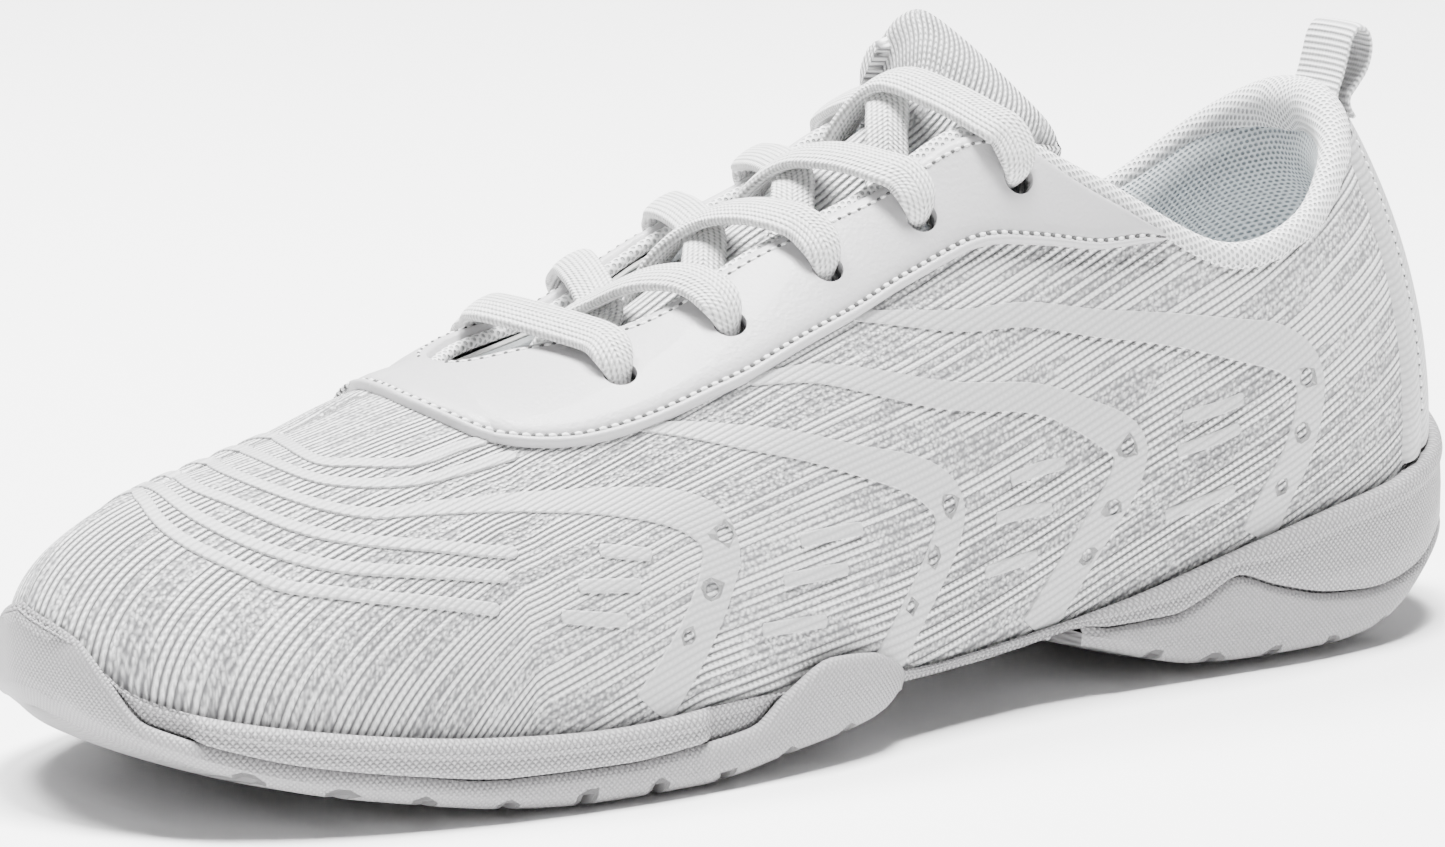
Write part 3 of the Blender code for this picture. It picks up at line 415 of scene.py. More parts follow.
def operator(operation):
    """A method that joins two wires, or a wire and a number, by a Math node."""
    return lambda wire, other: wire.paint.math(operation, wire, other)


class Wire:
    """An output of a node; arithmetic on wires makes Math nodes."""

    __add__ = operator("ADD")
    __sub__ = operator("SUBTRACT")
    __mul__ = operator("MULTIPLY")
    __truediv__ = operator("DIVIDE")
    __pow__ = operator("POWER")

    def __init__(self, paint, socket):
        self.paint = paint
        self.socket = socket

    def __abs__(self):
        return self.paint.math("ABSOLUTE", self)


class Paint:
    """A Principled material made of procedural nodes, with short calls for the nodes it needs."""

    def __init__(self, name, roughness=0.8, **sockets):
        self.made = bpy.data.materials.new(name)
        self.made.use_nodes = True
        self.tree = self.made.node_tree
        self.shader = self.tree.nodes["Principled BSDF"]
        self.shader.inputs["Roughness"].default_value = roughness
        for socket, value in sockets.items():
            self.shader.inputs[socket.replace("_", " ")].default_value = value

    def put(self, socket, value):
        """Links a wire to the socket, or sets a number or a colour on it."""
        if isinstance(value, Wire):
            self.tree.links.new(value.socket, socket)
        elif isinstance(value, tuple):
            socket.default_value = (*value, 1)
        else:
            socket.default_value = value

    def node(self, kind, inputs, output=0, **settings):
        """A wire from a new node; its inputs are given by place or by name."""
        node = self.tree.nodes.new("ShaderNode" + kind)
        for setting, value in settings.items():
            setattr(node, setting, value)
        for socket, value in inputs.items():
            self.put(node.inputs[socket], value)
        return Wire(self, node.outputs[output])

    def math(self, operation, *values):
        return self.node("Math", dict(enumerate(values)), operation=operation)

    def sine(self, value):
        return self.math("SINE", value)

    def field(self, name):
        return self.node("Attribute", {}, "Fac", attribute_name=name)

    def here(self):
        """Position in the piece's own space, in millimetres."""
        metres = self.node("TexCoord", {}, "Object")
        return self.node("VectorMath", {0: metres, "Scale": 1 / MM}, operation="SCALE")

    def point(self, x, y):
        return self.node("CombineXYZ", {0: x, 1: y})

    def noise(self, vector, scale, detail):
        return self.node("TexNoise", {"Vector": vector, "Scale": scale, "Detail": detail}, "Fac")

    def cells(self, vector, scale=1.0, feature="F1"):
        return self.node("TexVoronoi", {"Vector": vector, "Scale": scale}, "Distance", feature=feature)

    def remap(self, *values):
        """Smooth step: a value, its low and high, and what they turn into if not 0 and 1."""
        return self.node("MapRange", dict(enumerate(values)), interpolation_type="SMOOTHSTEP")

    def blend(self, share, a, b):
        """The colour a where share is 0 and b where it is 1."""
        return self.node("Mix", {0: share, 6: a, 7: b}, 2, data_type="RGBA")

    def finish(self, share, dark, light, height, depth):
        """The material, from dark to light by share, with bump of the given depth in millimetres."""
        self.put(self.shader.inputs["Base Color"], self.blend(share, dark, light))
        bump = self.node("Bump", {"Strength": 1.0, "Distance": depth * MM, "Height": height})
        self.put(self.shader.inputs["Normal"], bump)
        return self.made


def grey(value, blue=0.0):
    return (value, value, value + blue)


RIB_PITCH = 1.15
STITCH_PITCH = 1.1


def ribs_of(paint):
    """Height of chain-stitched ribs, 0 in the gaps and 1 on the crests, from the two fields."""
    rib = paint.field("across") / RIB_PITCH
    crest = abs(paint.sine(rib * math.pi))
    fold = abs(paint.math("FRACT", rib) - 0.5)
    stitch = paint.sine((paint.field("along") / STITCH_PITCH + fold) * math.tau) * 0.5 + 0.5
    return crest**1.3 * (stitch * 0.35 + 0.65)


def knit_paint(name, ribbed, dark, light):
    """Jacquard knit: each rib turns from bright chain stitches to dull pebbled ones and back along it; its
    colour also darkens with the relief, painted shade in the gaps between ribs and pebbles.
    """
    paint = Paint(name, 0.85, Sheen_Weight=0.15, Sheen_Roughness=0.5)
    across, along = paint.field("across"), paint.field("along")
    ribs = ribs_of(paint)
    pebbles = paint.remap(paint.cells(paint.point(across / 0.62, along / 0.8)), 0.1, 0.8, 0.3, 0.04)
    row = paint.math("FLOOR", across / RIB_PITCH)
    single = paint.noise(paint.point(row * 7.31, along / 24), 1.0, 1.0)
    patch = paint.noise(paint.point(across / 5, along / 42), 1.0, 1.0)
    share = paint.remap(single * 0.55 + patch * 0.45, ribbed - 0.03, ribbed + 0.03)
    height = paint.node("Mix", {0: share, 2: ribs * 0.3 + pebbles, 3: ribs})
    wide = paint.noise(paint.here(), 0.035, 1.0)
    # Colour: random tone, bright and dull ribs, and painted shade that darkens the gaps of the relief against
    # lighter crests.
    pattern_and_painted_shade = wide * 0.12 + height * (single * 0.9 + 0.5)
    return paint.finish(paint.remap(pattern_and_painted_shade, 0.10, 0.70), dark, light, height, 0.8)


def film_paint():
    """Film pressed on the knit: smooth, with the ribs faint under it and painted shade darkening the gaps
    between them.
    """
    paint = Paint("pressed_film", 0.5)
    ribs = ribs_of(paint)
    # The colour follows the ribs' height: painted shade in the gaps between them.
    return paint.finish(ribs, grey(0.36, 0.005), grey(0.53), ribs, 0.12)


def leather_paint():
    paint = Paint("synthetic_leather", 0.45, Coat_Weight=0.05)
    spot = paint.here()
    fine = paint.noise(spot, 2.5, 3.0)
    grain = paint.cells(spot, 1.3, "SMOOTH_F1") * 0.6 + fine * 0.5
    paint.put(paint.shader.inputs["Roughness"], paint.remap(fine, 0.3, 0.7, 0.4, 0.55))
    return paint.finish(paint.noise(spot, 0.05, 2.0), (0.44, 0.435, 0.445), (0.49, 0.485, 0.49), grain, 0.10)


def pebble_paint(name, pitch, dark, light, depth):
    """Small raised stitches all over, with painted shade darkening the gaps between them."""
    paint = Paint(name, 0.85, Sheen_Weight=0.2, Sheen_Roughness=0.5)
    spot = paint.point(paint.field("across") / pitch, paint.field("along") / (pitch * 1.15))
    height = paint.remap(paint.cells(spot), 0.05, 0.7, 1.0, 0.0)
    # The colour follows the relief: painted shade between the stitches.
    return paint.finish(height, dark, light, height, depth)


def mesh_paint(name, dark, light):
    """Spacer mesh: rows of small oval holes, each row shifted by half a hole, with painted shade darkening
    the holes.
    """
    paint = Paint(name, 0.9, Sheen_Weight=0.2)
    row = paint.field("along") / 0.95
    shift = paint.math("MODULO", paint.math("FLOOR", row), 2.0) * 0.5
    column = paint.field("across") / 1.15 + shift
    x, y = (abs(paint.math("FRACT", place) - 0.5) for place in (column, row))
    height = paint.remap(paint.math("SQRT", x**2.0 + y**2.0), 0.16, 0.42)
    # The colour follows the relief: painted shade in the holes.
    return paint.finish(height, dark, light, height, 0.4)


def braid_paint():
    """Flat knitted lace: rows of small loops along it, slanting yarns, and fuzz; its colour follows this
    relief, painted shade in the grooves with random tone from the fuzz.
    """
    paint = Paint("flat_braid", 0.9, Sheen_Weight=0.35, Sheen_Roughness=0.4)
    across = abs(paint.field("across"))
    yarn = paint.sine((across * 0.8 + paint.field("along")) * (math.tau / 0.8)) * 0.5 + 0.5
    rows = abs(paint.sine(across * (math.pi / 0.85)))
    height = paint.noise(paint.here(), 2.2, 3.0) * 0.7 + (yarn * 0.4 + rows * 0.6)
    # Colour from the relief: painted shade in the grooves between loops and yarns, random tone from the fuzz.
    return paint.finish(paint.remap(height, 0.2, 1.3), grey(0.30), (0.84, 0.84, 0.835), height, 0.35)


def webbing_paint():
    """Grosgrain: fine ribs across the ribbon, with painted shade darkening the gaps between them."""
    paint = Paint("grosgrain", 0.85, Sheen_Weight=0.2)
    ribs = paint.sine(paint.field("along") * math.tau) * 0.5 + 0.5
    height = paint.sine(paint.field("across") * (math.tau / 0.7)) * 0.12 + ribs
    # The colour follows the ribs' height: painted shade between them.
    return paint.finish(height, grey(0.40, 0.005), grey(0.76), height, 0.3)


def foam_paint(name, pitch, depth, dark, light):
    """Moulded foam or rubber with a fine crossed texture on its wall, and painted shade darkening its
    grooves.
    """
    paint = Paint(name, 0.6)
    along, across = paint.field("along"), paint.field("across")
    one, two = (paint.sine(slant * (math.pi / pitch)) for slant in (along + across, along - across))
    height = abs(one * two)
    # The colour follows the crossed relief: painted shade in its grooves.
    return paint.finish(height, (dark, dark - 0.005, dark), (light, light - 0.005, light), height, depth)


def plain_paint(name, colour, roughness, scale=0.6, depth=0.1):
    """Boards, stiffeners, thread and other plain pieces: a little mottling and relief."""
    paint = Paint(name, roughness)
    spots = paint.noise(paint.here(), scale, 3.0)
    return paint.finish(spots, tuple(0.9 * c for c in colour), colour, spots, depth)


# ---- the upper ----

# Height of one rib along the quarters, as (y, z): the others run parallel to it.
RIB_COURSE = [
    (-140, 38), (-100, 44), (-70, 50), (-40, 60), (-10, 72), (30, 89), (70, 107), (110, 125), (140, 138),
]
WALL_OUT = 33  # how far the quarter stands out from the middle


def knit_fields(u, k):
    """Distance across and along the ribs: they run back over the vamp and climb along the quarters."""
    x, y, z = np.moveaxis(skin(u, k), -1, 0)
    wrap = np.clip((y + 128) / 60, 0, 1) ** 1.3
    bent = np.clip((y + 40) / 120, 0, 1)
    across = np.abs(x + 4) * (1 - bent) + WALL_OUT * bent + 0.85 * wrap * (height(RIB_COURSE, y) - z)
    return side_of(u) * across, y * 1.04 + 0.32 * z


def seam_k(u):
    """Where the rolled collar is sewn to the knit, or 1 along the throat and the ridge."""
    t = station(u)
    drop = np.interp(t, [9.2, 9.7, 11, 12.8, 13.6, 15], [0.6, 1.6, 2.4, 3.2, 4.6, 6.5])
    return 1 - np.where(t > 9.2, drop, 0) / reach_of(u)


def turned_in(u, inset, share):
    point = beside(u, -inset)
    bite = around(BITE, u)[..., 2]
    point[..., 2] = bite * (1 - share) + height(FLOOR, point[..., 1]) * share
    return point


def knit_upper(finish, holes):
    us = np.linspace(-HEEL, HEEL, 361)[:, None]
    ks = np.concatenate([np.linspace(0, 0.7, 40), np.linspace(0.7, 1, 24)[1:]])
    k = ks * (seam_k(us) + 0.012 * (station(us) > 9.3))
    under = np.stack([turned_in(us[:, 0], inset, s) for inset, s in ((8, 1), (3.5, 1), (0.9, 0.6))], 1)
    rows = np.concatenate([under, skin(us, k)], 1)
    across, along = knit_fields(us, np.concatenate([np.zeros((len(us), 3)), k], 1))
    made = grid("knit_upper_shell", rows, finish, across, along)
    solidify(made, KNIT - 0.3)
    apply_cut(made, holes)
    place(made, "shoe", "knit", "knit_upper")


def strip(name, course, finish, rise, side, ends):
    """A raised strip through (u, k, width) points; its section is a low pillow and its ends are round."""
    course = np.array(course, float) * (side, 1, 1)
    rough = resampled(course, 12 * len(course))
    run = lengths(skin(rough[:, 0], rough[:, 1]))
    end = run[-1]
    steps = np.linspace(1.2, end - 1.2, max(int(end / 1.2), 4))
    at = np.concatenate([[0, 0.25, 0.6], steps, end - np.array([0.6, 0.25, 0])])
    u, k, width = (np.interp(at, run, column)[:, None] for column in rough.T)
    middle = skin(u, k)[:, 0]
    way = unit(np.gradient(middle, axis=0)) * np.gradient(at)[:, None]
    near = np.exp(-((at[:, None] - at) / 3.2) ** 2)
    sideways = unit(np.cross(normal(u, k)[:, 0], unit(near @ way)))
    half = width / 2
    for distance, blunt in ((at, ends[0]), (end - at, ends[1])):
        half = half * quarter_round(distance[:, None], np.maximum(blunt * width, 0.3), 0.02)
    top = np.array([-1, -0.99, -0.95, -0.75, -0.4, 0, 0.4, 0.75, 0.95, 0.99, 1])
    lift = rise * np.clip(1 - np.abs(top) ** 40, 0, 1) - 0.02
    shares = np.concatenate([top, [0.6, 0, -0.6]])
    lifts = np.concatenate([lift, [-0.3, -0.3, -0.3]])
    spots = middle[:, None] + sideways[:, None] * (half * shares)[..., None]
    u, k = to_skin(spots, u + 0 * shares, k + 0 * shares)
    points = lifted(u, k, np.broadcast_to(lifts, u.shape)[..., None])
    return grid(name, points, finish, *knit_fields(u, k), closed=True)


# Side bands: (station, k, width) from the eyestay or the toe lines down to the sole.
SIDE_BANDS = [
    [(3.4, 0.585, 2.0), (3.9, 0.56, 2.6), (4.4, 0.54, 3.4), (5, 0.515, 4.4), (5.55, 0.475, 6),
     (5.86, 0.42, 7), (5.95, 0.345, 6.6), (5.82, 0.25, 6.4), (5.6, 0.15, 6.8), (5.3, 0.04, 7.8)],
    [(5.6, 0.675, 1.8), (5.85, 0.648, 2.6), (6.07, 0.618, 3.4), (6.5, 0.545, 4.4), (7.12, 0.45, 4.8),
     (7.7, 0.385, 6.2), (7.98, 0.335, 7), (8.07, 0.285, 6.6), (7.97, 0.22, 6.4), (7.75, 0.14, 6.8),
     (7.45, 0.03, 7.8)],
    [(6.5, 0.69, 1.8), (6.8, 0.662, 2.8), (7.02, 0.64, 3.4), (7.6, 0.57, 4.4), (8.5, 0.475, 4.6),
     (9.3, 0.425, 5.2), (9.8, 0.39, 6.8), (9.97, 0.35, 7), (9.9, 0.28, 6.8), (9.7, 0.21, 6.8),
     (9.4, 0.12, 7.2), (9.05, 0.02, 8)],
    [(7.45, 0.735, 1.8), (7.75, 0.705, 2.4), (8, 0.68, 3), (8.6, 0.615, 3.8), (9.3, 0.6, 4.2),
     (10.1, 0.64, 4.8), (10.8, 0.695, 6), (11.3, 0.665, 7.4), (11.65, 0.58, 7.4), (11.82, 0.48, 6.6),
     (11.8, 0.36, 6.4), (11.68, 0.24, 6.6), (11.5, 0.14, 7), (11.35, 0.03, 8)],
]
BAND_DOTS = [
    [(6.0, 0.38), (5.83, 0.27), (5.61, 0.18)],
    [(8.06, 0.31), (7.89, 0.22), (7.67, 0.14)],
    [(9.94, 0.36), (9.8, 0.23), (9.54, 0.14)],
    [(11.78, 0.49), (11.73, 0.32), (11.55, 0.17)],
]
DOT_RADII = (1.45, 1.25, 1.05)
DASHES = [  # start and end of each short dash
    ((5.02, 0.40), (5.41, 0.37)), ((4.81, 0.33), (5.28, 0.31)), ((4.65, 0.27), (5.14, 0.24)),
    ((6.6, 0.32), (7.16, 0.31)), ((6.43, 0.25), (7.01, 0.24)), ((6.23, 0.16), (6.81, 0.15)),
    ((8.69, 0.31), (9.26, 0.32)), ((8.54, 0.25), (9.12, 0.24)), ((8.45, 0.16), (8.99, 0.16)),
    ((10.5, 0.44), (11.1, 0.5)), ((10.45, 0.35), (11.07, 0.41)), ((10.35, 0.19), (11.05, 0.22)),
]
# Lines round the toe on the outer side; the first two cross the middle in front, the others over the ridge.
TOE_LINES = [
    [(0, 0.87), (0.7, 0.77), (1.48, 0.62), (2.26, 0.50), (2.68, 0.43), (3.06, 0.40), (3.62, 0.35),
     (4.21, 0.30)],
    [(0, 0.925), (0.9, 0.81), (1.83, 0.66), (2.54, 0.54), (3.07, 0.47), (3.76, 0.41), (4.32, 0.37)],
    [(0.5, 1), (0.68, 0.95), (1.4, 0.82), (2.16, 0.71), (2.82, 0.59), (3.34, 0.52), (4.03, 0.45),
     (4.43, 0.42)],
    [(1.35, 1), (1.5, 0.95), (2.68, 0.71), (3.25, 0.61), (3.6, 0.57)],
    [(2.1, 1), (2.15, 0.96), (2.84, 0.77), (3.29, 0.69), (3.82, 0.64), (4.35, 0.64), (4.66, 0.65)],
    [(2.6, 1), (2.67, 0.95), (3.03, 0.80), (3.41, 0.74), (3.87, 0.69), (4.28, 0.70), (4.51, 0.70)],
]
TOE_LINE_WIDTH = 2.1
FILM_RISE = 0.34


def films(finish):
    """Bands, dashes and toe lines pressed on the knit of both sides."""
    for side, word in ((1, "outer"), (-1, "inner")):
        for number, (course, dots) in enumerate(zip(SIDE_BANDS, BAND_DOTS), 1):
            band = strip(f"{word}_film_{number}", course, finish, FILM_RISE, side, (0.5, 0.05))
            spots = [(side * t, k, radius) for (t, k), radius in zip(dots, DOT_RADII)]
            apply_cut(band, pegs(f"{word}_dots_{number}", spots))
            place(band, "shoe", "band", f"{word}_band_{number}")
        for number, (start, end) in enumerate(DASHES, 1):
            middle = ((start[0] + end[0]) / 2, (start[1] + end[1]) / 2)
            course = [(*start, 2.1), (*middle, 2.3), (*end, 2.1)]
            place(strip(f"{word}_dash_{number}", course, finish, 0.3, side, (0.12, 0.12)), "shoe", "band")
        for number, line in enumerate(TOE_LINES, 1):
            course = [(t, k, TOE_LINE_WIDTH) for t, k in line]
            name, ends = f"{word}_toe_line_{number}", (0.02, 0.4)
            if line[0][0] == 0:
                if side < 0:
                    continue
                course = [(-t, k, w) for t, k, w in course[:0:-1]] + course
                name, ends = f"toe_line_{number}", (0.4, 0.4)
            place(strip(name, course, finish, 0.36, side, ends), "shoe", "band")


INNER_SET_BACK = 0.09  # how much k the inner side's front edge gives up at station 4
# Eyestay: matching points of its outer edge and of its throat edge, from the middle in front to the collar.
STAY_OUT = [
    (3.85, 1), (3.92, 0.94), (4.02, 0.87), (4.26, 0.77), (4.55, 0.69), (5, 0.65), (5.4, 0.65),
    (6.1, 0.685), (6.6, 0.69), (7.4, 0.72), (8, 0.75), (8.6, 0.75), (9.15, 0.74), (9.7, 0.78),
    (10.1, 0.835), (10.4, 0.905), (10.5, 0.935),
]
STAY_IN = [
    (4.6, 1), (4.605, 0.993), (4.62, 0.99), (4.68, 0.985), (4.8, 0.982), (5.02, 0.98), (5.4, 0.98),
    (6.1, 0.98), (6.6, 0.98), (7.4, 0.98), (8, 0.98), (8.5, 0.98), (8.95, 0.98), (9.35, 0.975),
    (9.75, 0.955), (10.15, 0.945), (10.4, 0.945),
]
STAY_PROFILE = np.array([  # distance in from the outer edge, and height over the knit
    (0, 0.05), (0.06, 0.7), (0.18, 1.15), (0.4, 1.45), (0.7, 1.55), (1.0, 1.5), (1.25, 1.3), (1.45, 1.05),
    (1.6, 0.95), (1.8, 1.0), (2.1, 1.25), (2.7, 1.5), (4.2, 1.62), (6.5, 1.65),
])
STAY_REAR = np.array([  # distance back from the throat edge, and height over the knit
    (2.4, 1.65), (1.2, 1.6), (0.5, 1.4), (0.15, 1.0), (0, 0.2),
])
STITCH_IN = 1.6  # the stitch row's distance in from the outer edge
THROAT_STITCH_IN = 1.9  # and the other row's from the throat edge
STAY_FULL = 9.5  # the profile shrinks where the eyestay is narrower than this
THREAD = 0.36


def stay_place(at, share_of):
    """(u, k) on the ruling 'at' of one side; share_of(length) gives the share of the way in, by distance."""
    out, far = smooth(STAY_OUT, at), smooth(STAY_IN, at)
    length = np.linalg.norm(skin(far[:, 0], far[:, 1]) - skin(out[:, 0], out[:, 1]), axis=-1)
    return out[:, None] + (far - out)[:, None] * share_of(length[:, None])[..., None]


def eyestay(finish, holes):
    half = np.concatenate([np.linspace(0, 5, 56), np.linspace(5, len(STAY_OUT) - 1, 80)[1:]])

    def shares(length):
        scale = np.minimum(length / STAY_FULL, 1)
        ahead = STAY_PROFILE[:, 0] * scale / length
        behind = 1 - STAY_REAR[:, 0] * scale / length
        between = ahead[:, -1:] + (behind[:, :1] - ahead[:, -1:]) * np.linspace(0, 1, 7)[1:-1]
        return np.concatenate([ahead, between, behind], 1)

    lifts = np.concatenate([STAY_PROFILE[:, 1], np.full(5, 1.66), STAY_REAR[:, 1], [-0.3, -0.3, -0.3]])
    uk = stay_place(half, shares)
    back = uk[:, -1:] + (uk[:, :1] - uk[:, -1:]) * np.array([0.02, 0.5, 0.98])[:, None]
    uk = np.concatenate([uk, back], 1)
    lean = np.clip(1 - half / 2.5, 0, 1)[:, None, None] ** 2
    wings = []
    for side in (1, -1):
        u, k = side * uk[..., 0], uk[..., 1]
        if side == -1:
            k = np.minimum(k + INNER_SET_BACK * np.clip(5 - station(u), 0, 1) * (1 - k) / 0.3, 1)
        n = normal(u, k)
        if side == 1:
            front = unit(n[0] * (0, 1, 1))
        n[0] = front
        n = unit(n * (1 - lean) + front * lean)
        wings.append((skin(u, k) + n * lifts[:, None], u, k))
    points, u, k = (np.concatenate([left[:0:-1], right]) for right, left in zip(*wings))
    made = grid("eyestay_leather", points, finish, *knit_fields(u, k), closed=True)
    apply_cut(made, holes)
    place(made, "shoe", "facing", "eyestay")


def beads(name, line, ups, finish, pitch, length, radius, skip):
    """Beads along a line of points, one for each pitch: short rounded threads for stitches, and dark ones of
    painted shade for needle holes.
    """
    run = lengths(line)
    size = np.array([0.25, 0.8, 1, 0.8, 0.25])[:, None, None] * radius
    dip = np.array([-0.9, -0.25, 0, -0.25, -0.9])[:, None] * radius
    turn = np.arange(6) * math.pi / 3
    shape = bmesh.new()
    for start in np.arange(skip, run[-1] - skip - length, pitch):
        at = start + length * np.array([0, 0.12, 0.5, 0.88, 1])
        spine, up = (np.stack([np.interp(at, run, column) for column in rows.T], 1) for rows in (line, ups))
        up = unit(up)
        side = unit(np.cross(unit(spine[-1] - spine[0]), up))
        ring = (spine + up * dip)[:, None] + size * (side[:, None] * np.cos(turn)[:, None]
                                                     + up[:, None] * np.sin(turn)[:, None])
        verts = [[shape.verts.new((p + SHIFT) * MM) for p in row] for row in ring]
        for a, b in zip(verts, verts[1:]):
            for j in range(6):
                shape.faces.new((a[j], b[j], b[(j + 1) % 6], a[(j + 1) % 6]))
        shape.faces.new(verts[0][::-1])
        shape.faces.new(verts[-1])
    return smooth_piece(name, bpy.data.meshes.new(name), shape, finish)


def seam(line, n, pitch, *rows):
    """Rows of beads along one line: each row's name, finish, slot, depth, length, radius and skip."""
    for name, finish, slot, depth, length, radius, skip in rows:
        place(beads(name, line - n * depth, n, finish, pitch, length, radius, skip), "shoe", slot)


def stay_stitches(thread, shade):
    half = np.linspace(0.02, len(STAY_OUT) - 1.1, 240)
    edge = stay_place(half, lambda length: STITCH_IN * np.minimum(length / STAY_FULL, 1) / length)[:, 0]
    throat = stay_place(half, lambda length: 1 - THROAT_STITCH_IN / length)[:, 0]
    throat = throat[(throat[:, 0] > 4.605) & (throat[:, 0] < 9.2)]
    for side, word in ((1, "outer"), (-1, "inner")):
        u, k = side * edge[:, 0], edge[:, 1]
        n = normal(u, k)
        # Each stitch row is paired with a row of dark beads: painted shade in the needle holes between the
        # stitches.
        seam(skin(u, k) + n * 1.12, n, 2.0,
             (f"{word}_stay_stitches", thread, "lace", 0, 1.4, 1.2 * THREAD, 0.5),
             (f"{word}_stay_painted_hole_shade", shade, "facing", 0.02, 0.85, 0.42, -0.1))
        u, k = side * throat[:, 0], throat[:, 1]
        n = normal(u, k)
        seam(skin(u, k) + n * 1.62, n, 1.9,
             (f"{word}_throat_stitches", thread, "lace", 0, 1.3, 0.3, 0.5),
             (f"{word}_throat_painted_hole_shade", shade, "facing", 0, 0.8, 0.3, -0.1))


# Section of the collar roll: up along the knit, and out from it, for a roll of radius 3.
ROLL = [
    (-6.2, 0.1), (-5.4, 0.75), (-4.2, 1.05), (-2.6, 1.1), (-0.9, 0.9), (0.6, 0.25), (1.6, -0.8), (2.1, -2.2),
    (1.9, -3.7), (1.1, -5.0), (-0.2, -5.9), (-1.8, -6.4), (-3.6, -6.6), (-4.4, -6.0), (-4.6, -3.6),
    (-5.4, -1.2),
]

ROLL_SIZE = [  # as (station, share of that radius)
    (4.6, 0.26), (8.2, 0.3), (9, 0.42), (9.6, 0.5), (10.6, 0.5), (11.8, 0.52), (12.8, 0.62), (13.6, 0.85),
    (14.3, 1.05), (15, 1.15),
]


def roll_size(u):
    return np.interp(station(u), *np.transpose(ROLL_SIZE))


def collar_roll(finish):
    us = np.concatenate([np.linspace(4.61, 5.2, 14), np.linspace(5.2, TURN - 5.2, 260)[1:-1],
                         TURN - np.linspace(5.2, 4.61, 14)])
    size = roll_size(us)[:, None, None]
    top = skin(us, 1.0)
    up = unit(top - skin(us, 0.97))
    section = resampled(ROLL, 40)
    points = top[:, None] + size * (up[:, None] * section[:, :1] + normal(us, 1.0)[:, None] * section[:, 1:])
    across = lengths(section) * size[..., 0]
    made = grid("collar_roll", points, finish, across, lengths(top)[:, None], closed=True)
    place(made, "shoe", "knit", "collar_rim")


PAD_FRONT = 8.9  # the station where the collar's padding begins
PAD_THIN = 1.8  # depth of the padding's edge under the knit
PAD_LOW = 0.03  # k of its lower edge
PAD_PUFF = (5.2, 3.6, 11, 9)  # depth at the bottom, swell over it, and how far down the swell is and reaches


def collar_pad(finish):
    """Padded lining of the collar and heel, from under the roll down to the footbed."""
    us = np.linspace(PAD_FRONT, TURN - PAD_FRONT, 220)[:, None]
    roll, reach = roll_size(us), reach_of(us)
    k = PAD_LOW + (1 - 0.5 * roll / reach - PAD_LOW) * np.linspace(0, 1, 46)
    down = (1 - k) * reach
    least, swell, swell_at, swell_reach = PAD_PUFF
    full = least + swell * roll * np.exp(-((down - swell_at) / swell_reach) ** 2)
    puff = PAD_THIN + (full - PAD_THIN) * quarter_round(down, 7)
    start = np.clip((station(us) - PAD_FRONT) / 0.9, 0, 1)
    puff = 4.2 * (1 - start) + puff * start
    points = lifted(us, k, -puff[..., None])
    made = grid("collar_pad", points, finish, lengths(points[:, -1])[:, None], lengths(points[len(us) // 2]))
    solidify(made, 1.0, offset=1)
    place(made, "shoe", "mesh", "collar_foam", "collar_lining")


# ---- the tongue ----

def under_throat(t, lower=0.0):
    """Points under the throat's outer and inner edge at station t, or that much lower in k."""
    return [lifted(np.array(side * t), np.array(THROAT_K - lower), -TONGUE_DROP) for side in (1.0, -1.0)]


def tongue_rows():
    shares = np.array([-1.3, -1.15, -1, -0.7, -0.36, 0, 0.36, 0.7, 1, 1.15, 1.3])
    middle = len(shares) // 2
    rows = []
    for t in (4.0, 4.4):
        row = lifted(np.where(shares > 0, t, -t), 1 - 0.16 * np.abs(shares), LINING_AT - 1.1)
        row[middle] = 0.5 * (row[middle - 1] + row[middle + 1])
        rows.append(row)
    for t in (5.0, 5.5, 6, 6.6, 7.2, 7.8, 8.4, 9):
        right, left = under_throat(t)
        row = []
        for s in shares:
            if abs(s) > 1:
                row.append(under_throat(t, 0.45 * (abs(s) - 1))[int(s < 0)])
            else:
                point = 0.5 * (1 + s) * right + 0.5 * (1 - s) * left
                point[2] += height(TONGUE_RISE, t) * (1 - s * s) ** (2.2 - 0.3 * max(t - 6.6, 0))
                row.append(point)
        rows.append(np.array(row))
    for handles in TONGUE_TOP:
        rows.append(smooth(handles[::-1], np.interp(shares, [-1.3, -1, 0, 1, 1.3], [0, 1, 2, 3, 4])))
    return np.array(rows)


TONGUE_THIN = 1.8  # the tongue's thickness at its top
TONGUE_SWELL = 3.8  # and how much thicker it is further down


def tongue(finish):
    """A padded tongue: its face swells between its edges, and the edges are rolled."""
    fine = tongue_rows()
    for count in (120, 61):  # rows along the tongue, then points across it
        fine = np.swapaxes(resampled(fine, count), 0, 1)
    a, b = np.gradient(fine, axis=0), np.gradient(fine, axis=1)
    n = unit(np.cross(b, a))
    n *= np.sign(n[..., 2:])
    down = lengths(fine[:, 30])[:, None]
    left = down[-1] - down
    side = np.array([lengths(row) for row in fine])
    side = side - side[:, 30:31]
    edge = np.minimum(np.minimum(np.abs(side - side[:, :1]), np.abs(side - side[:, -1:])), left)
    thick = TONGUE_THIN + TONGUE_SWELL * np.clip(left / 16, 0, 1)
    swell = thick / 2 * quarter_round(edge, 2.8)
    quilt = 0.25 * np.clip(edge / 8, 0, 1)
    middle = fine - n * thick[..., None] / 2
    face = middle + n * (swell + quilt)[..., None]
    back = middle - n * swell[..., None]
    points = np.concatenate([face, back[:, ::-1]], 1)
    made = grid("tongue_pad", points, finish, np.concatenate([side, side[:, ::-1]], 1), down, closed=True)
    place(made, "tongue", "knit", "tongue_face", "tongue_foam", "tongue_lining")


# ---- laces ----

def tongue_middle(t):
    point = 0.5 * sum(under_throat(t))
    point[2] += height(TONGUE_RISE, t)
    return point


